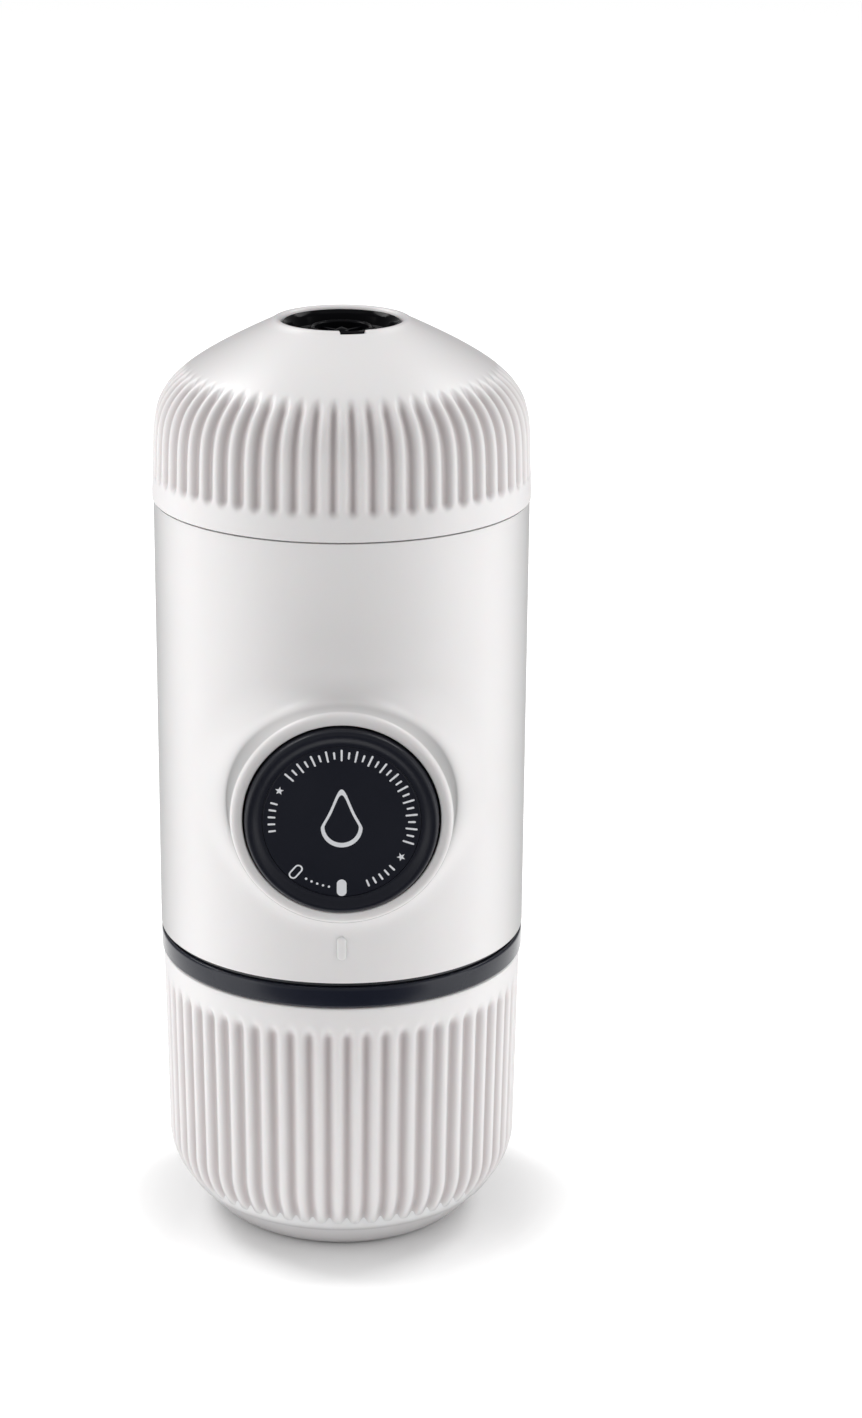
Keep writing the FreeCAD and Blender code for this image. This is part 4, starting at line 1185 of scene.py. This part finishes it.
@dataclass
class Spring:
    """A compression spring with closed ends.

    Attributes:
        name: The piece's name, and its node's.
        radius: Radius of the coil to the middle of the wire.
        wire: Half the wire's thickness.
        low: Where the spring starts along its axis.
        high: Where it ends.
        turns: Turns of wire, the level ones at the ends among them.
        axis: The line that it winds round.
        behind: How far the axis stands behind the middle of the maker.
    """

    name: str
    radius: float
    wire: float
    low: float
    high: float
    turns: float
    axis: Axis = Axis.UPRIGHT
    behind: float = 0.0

    def grid(self) -> Array:
        """The wire as rings of points round its winding path, drawn to a point at both ends.

        The path stays level for four fifths of a turn at each end and climbs evenly between them.
        """
        count = int(self.turns * 36)
        turn = np.linspace(0.0, self.turns, count)
        climb = np.clip((turn - 0.8) / (self.turns - 1.6), 0.0, 1.0)
        level = self.low + self.wire + climb * (self.high - self.low - 2.0 * self.wire)
        b = equal_turns(10)
        wire = np.full((count, 1), self.wire)
        wire[[0, -1]] = 0.0
        reach = self.radius + wire * np.cos(b)
        height = level[:, None] + wire * np.sin(b)
        grid = round_axis(reach, height, turn[:, None] * 2.0 * math.pi, self.axis)
        grid[..., 1] += self.behind
        return grid

    def build(self, shop: Workshop) -> None:
        """Makes and places the spring."""
        piece = Shell().add(self.grid(), False, True).mesh(f"{self.name}_coil", 60.0)
        shop.place(piece, STEEL, "main", self.name)


# the valve springs are drawn squeezed, so that each ball clears its own at full lift
SPRINGS = (
    Spring("return_spring", 10.35, 0.55, -34.05, 8.45, 13.0, Axis.KNOB),
    Spring("inlet_valve_spring", 1.9, 0.28, 64.75, 68.9, 5.0, behind=18.0),
    Spring("outlet_valve_spring", 1.9, 0.28, 103.45, 106.2, 3.5, behind=18.0),
)


CARRIED_OVER = {
    STEEL: ("filter_basket", "shower_screen", "inlet_valve_ball", "outlet_valve_ball"),
    ZINC: ("shower_screw", "brew_collar_screws", "tank_mount_screws", "pump_cap_screws", "knob_screw"),
    CORE_BLACK: ("brew_collar", "pump_block", "tank_mount", "pump_cap", "guide_bush", "inlet_strainer"),
    SILICONE_MILK: ("brew_gasket", "head_gasket"),
    SILICONE_BLACK: (
        "tank_seal", "cup_grip_ring", "pump_cap_seal", "guide_wiper", "plunger_seal", "vent_valve",
    ),
    ACETAL: (
        "pump_tube", "plunger", "spring_washer", "inlet_valve_seat", "outlet_valve_seat", "outlet_valve_plug",
    ),
}


@dataclass
class Studio:
    """The pale floor, the soft lights and the camera.

    Attributes:
        camera_y: The camera's distance from the maker's axis, in metres.
        camera_z: Its height.
        tilt_degrees: How far it looks down from level.
        focal_pixels: Its focal length in pixels of the photograph.
        frame_size: Width and height of the photograph in pixels.
        axis_pixel: Where the maker's axis stands across the photograph.
    """

    camera_y: float = 0.540425
    camera_z: float = 0.266025
    tilt_degrees: float = 18.119
    focal_pixels: float = 3377.5
    frame_size: tuple[int, int] = (862, 1418)
    axis_pixel: float = 341.66

    def camera(self) -> None:
        """Stands the camera where the photograph was taken from."""
        width, height = self.frame_size
        data = bpy.data.cameras.new("camera")
        data.sensor_width = 36.0
        data.lens = self.focal_pixels / height * data.sensor_width
        data.shift_x = (width / 2 - self.axis_pixel) / height
        data.clip_start, data.clip_end = 0.01, 50.0
        camera = linked("camera", data)
        camera.location = (0.0, -self.camera_y, self.camera_z)
        camera.rotation_euler = (math.radians(90.0 - self.tilt_degrees), 0.0, 0.0)
        bpy.context.scene.camera = camera

    @staticmethod
    def softbox(name: str, place: tuple, size: tuple, watts: float, target: tuple = (0.0, 0.0, 0.08)) -> None:
        """One rectangular area light aimed at the maker.

        Args:
            name: The light's name.
            place: Where it stands, in metres.
            size: Its width and height.
            watts: Its power.
            target: The point that it faces.
        """
        data = bpy.data.lights.new(name, "AREA")
        data.shape = "RECTANGLE"
        data.size, data.size_y = size
        data.energy = watts
        lamp = linked(name, data)
        lamp.location = place
        away = np.array(place) - np.array(target)
        side = math.hypot(away[0], away[1])
        lamp.rotation_euler = (math.atan2(side, away[2]), 0.0, math.atan2(away[1], away[0]) + math.pi / 2)

    @staticmethod
    def sheet(name: str, edges: tuple, height: float, material: bpy.types.Material) -> bpy.types.Object:
        """A level sheet of the stage between its left, near, right and far edges, in metres."""
        left, near, right, far = edges
        data = bpy.data.meshes.new(name)
        data.from_pydata(
            [(left, near, 0), (right, near, 0), (right, far, 0), (left, far, 0)], [], [(0, 1, 2, 3)]
        )
        data.materials.append(material)
        made = linked(name, data)
        made.location.z = height
        return made

    def floor(self, effects: Effects) -> None:
        """A wide pale sheet with a faint polish that glows white; near the maker the glow fades out, a
        painted shadow over the maker's own soft shadow.
        """
        pale = PALE_FLOOR.material(effects)
        tree = pale.node_tree
        skin = tree.nodes["Principled BSDF"]
        skin.inputs["Emission Color"].default_value = (1.0, 1.0, 1.0, 1.0)
        place, away, rise = add_nodes(tree, "TexCoord", "VectorMath", "MapRange")
        away.operation = "LENGTH"
        rise.interpolation_type = "SMOOTHSTEP"
        # the glow grows with distance from the maker's axis, leaving a painted shadow dark under and round
        # its foot
        for label, value in (("From Min", 0.025), ("From Max", 0.056), ("To Min", 0.0), ("To Max", 0.62)):
            rise.inputs[label].default_value = value
        connect(
            tree,
            (place.outputs["Object"], away.inputs[0]),
            (away.outputs["Value"], rise.inputs["Value"]),
            (rise.outputs["Result"], skin.inputs["Emission Strength"]),
        )
        self.sheet("studio_floor", (-4, -4, 4, 4), -0.0001, pale)

    def flag(self, effects: Effects) -> None:
        """A black card on the floor in front, seen only in reflections, that keeps the middle darker."""
        card = self.sheet("front_flag", (-0.13, -0.60, 0.13, -0.10), 0.0005, FLAG_BLACK.material(effects))
        card.visible_camera = False
        card.visible_shadow = False

    @staticmethod
    def world() -> None:
        """An even white surround."""
        world = bpy.data.worlds.new("studio")
        world.use_nodes = True
        light = world.node_tree.nodes["Background"].inputs
        light["Color"].default_value = (1.0, 1.0, 1.0, 1.0)
        light["Strength"].default_value = 0.36
        bpy.context.scene.world = world

    def build(self, effects: Effects) -> None:
        """Sets up the whole studio."""
        self.camera()
        self.world()
        self.floor(effects)
        self.flag(effects)
        reach, height, watts = 0.35, 0.16, 0.40
        for name, azimuth in (("left_strip", -66.0), ("right_strip", 66.0)):
            turn = math.radians(azimuth)
            place = (reach * math.sin(turn), -reach * math.cos(turn), height)
            self.softbox(name, place, (0.24, 0.31), watts, (0.0, 0.0, height))
        self.softbox("top_left_softbox", (-0.63, 0.41, 0.90), (0.4, 0.4), 5.4)
        self.softbox("top_right_softbox", (0.63, 0.41, 0.90), (0.4, 0.4), 3.6)
        self.softbox("top_softbox", (0.0, -0.1, 1.5), (1.6, 1.2), 3.5)
        bpy.context.scene.view_settings.view_transform = "Standard"


def main() -> None:
    """Builds the maker's looks piece by piece, then the studio."""
    logging.basicConfig(level=logging.INFO, format="%(name)s: %(message)s")
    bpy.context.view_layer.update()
    shop = Workshop()
    for piece in (OutletHead(), Body(), Knob(), DrinkingCup(), *TURNED_PIECES, *THREADS, *SPRINGS):
        piece.build(shop)
    for finish, names in CARRIED_OVER.items():
        shop.carry_over(finish, names)
    Studio().build(shop.effects)


if __name__ == "__main__":
    main()
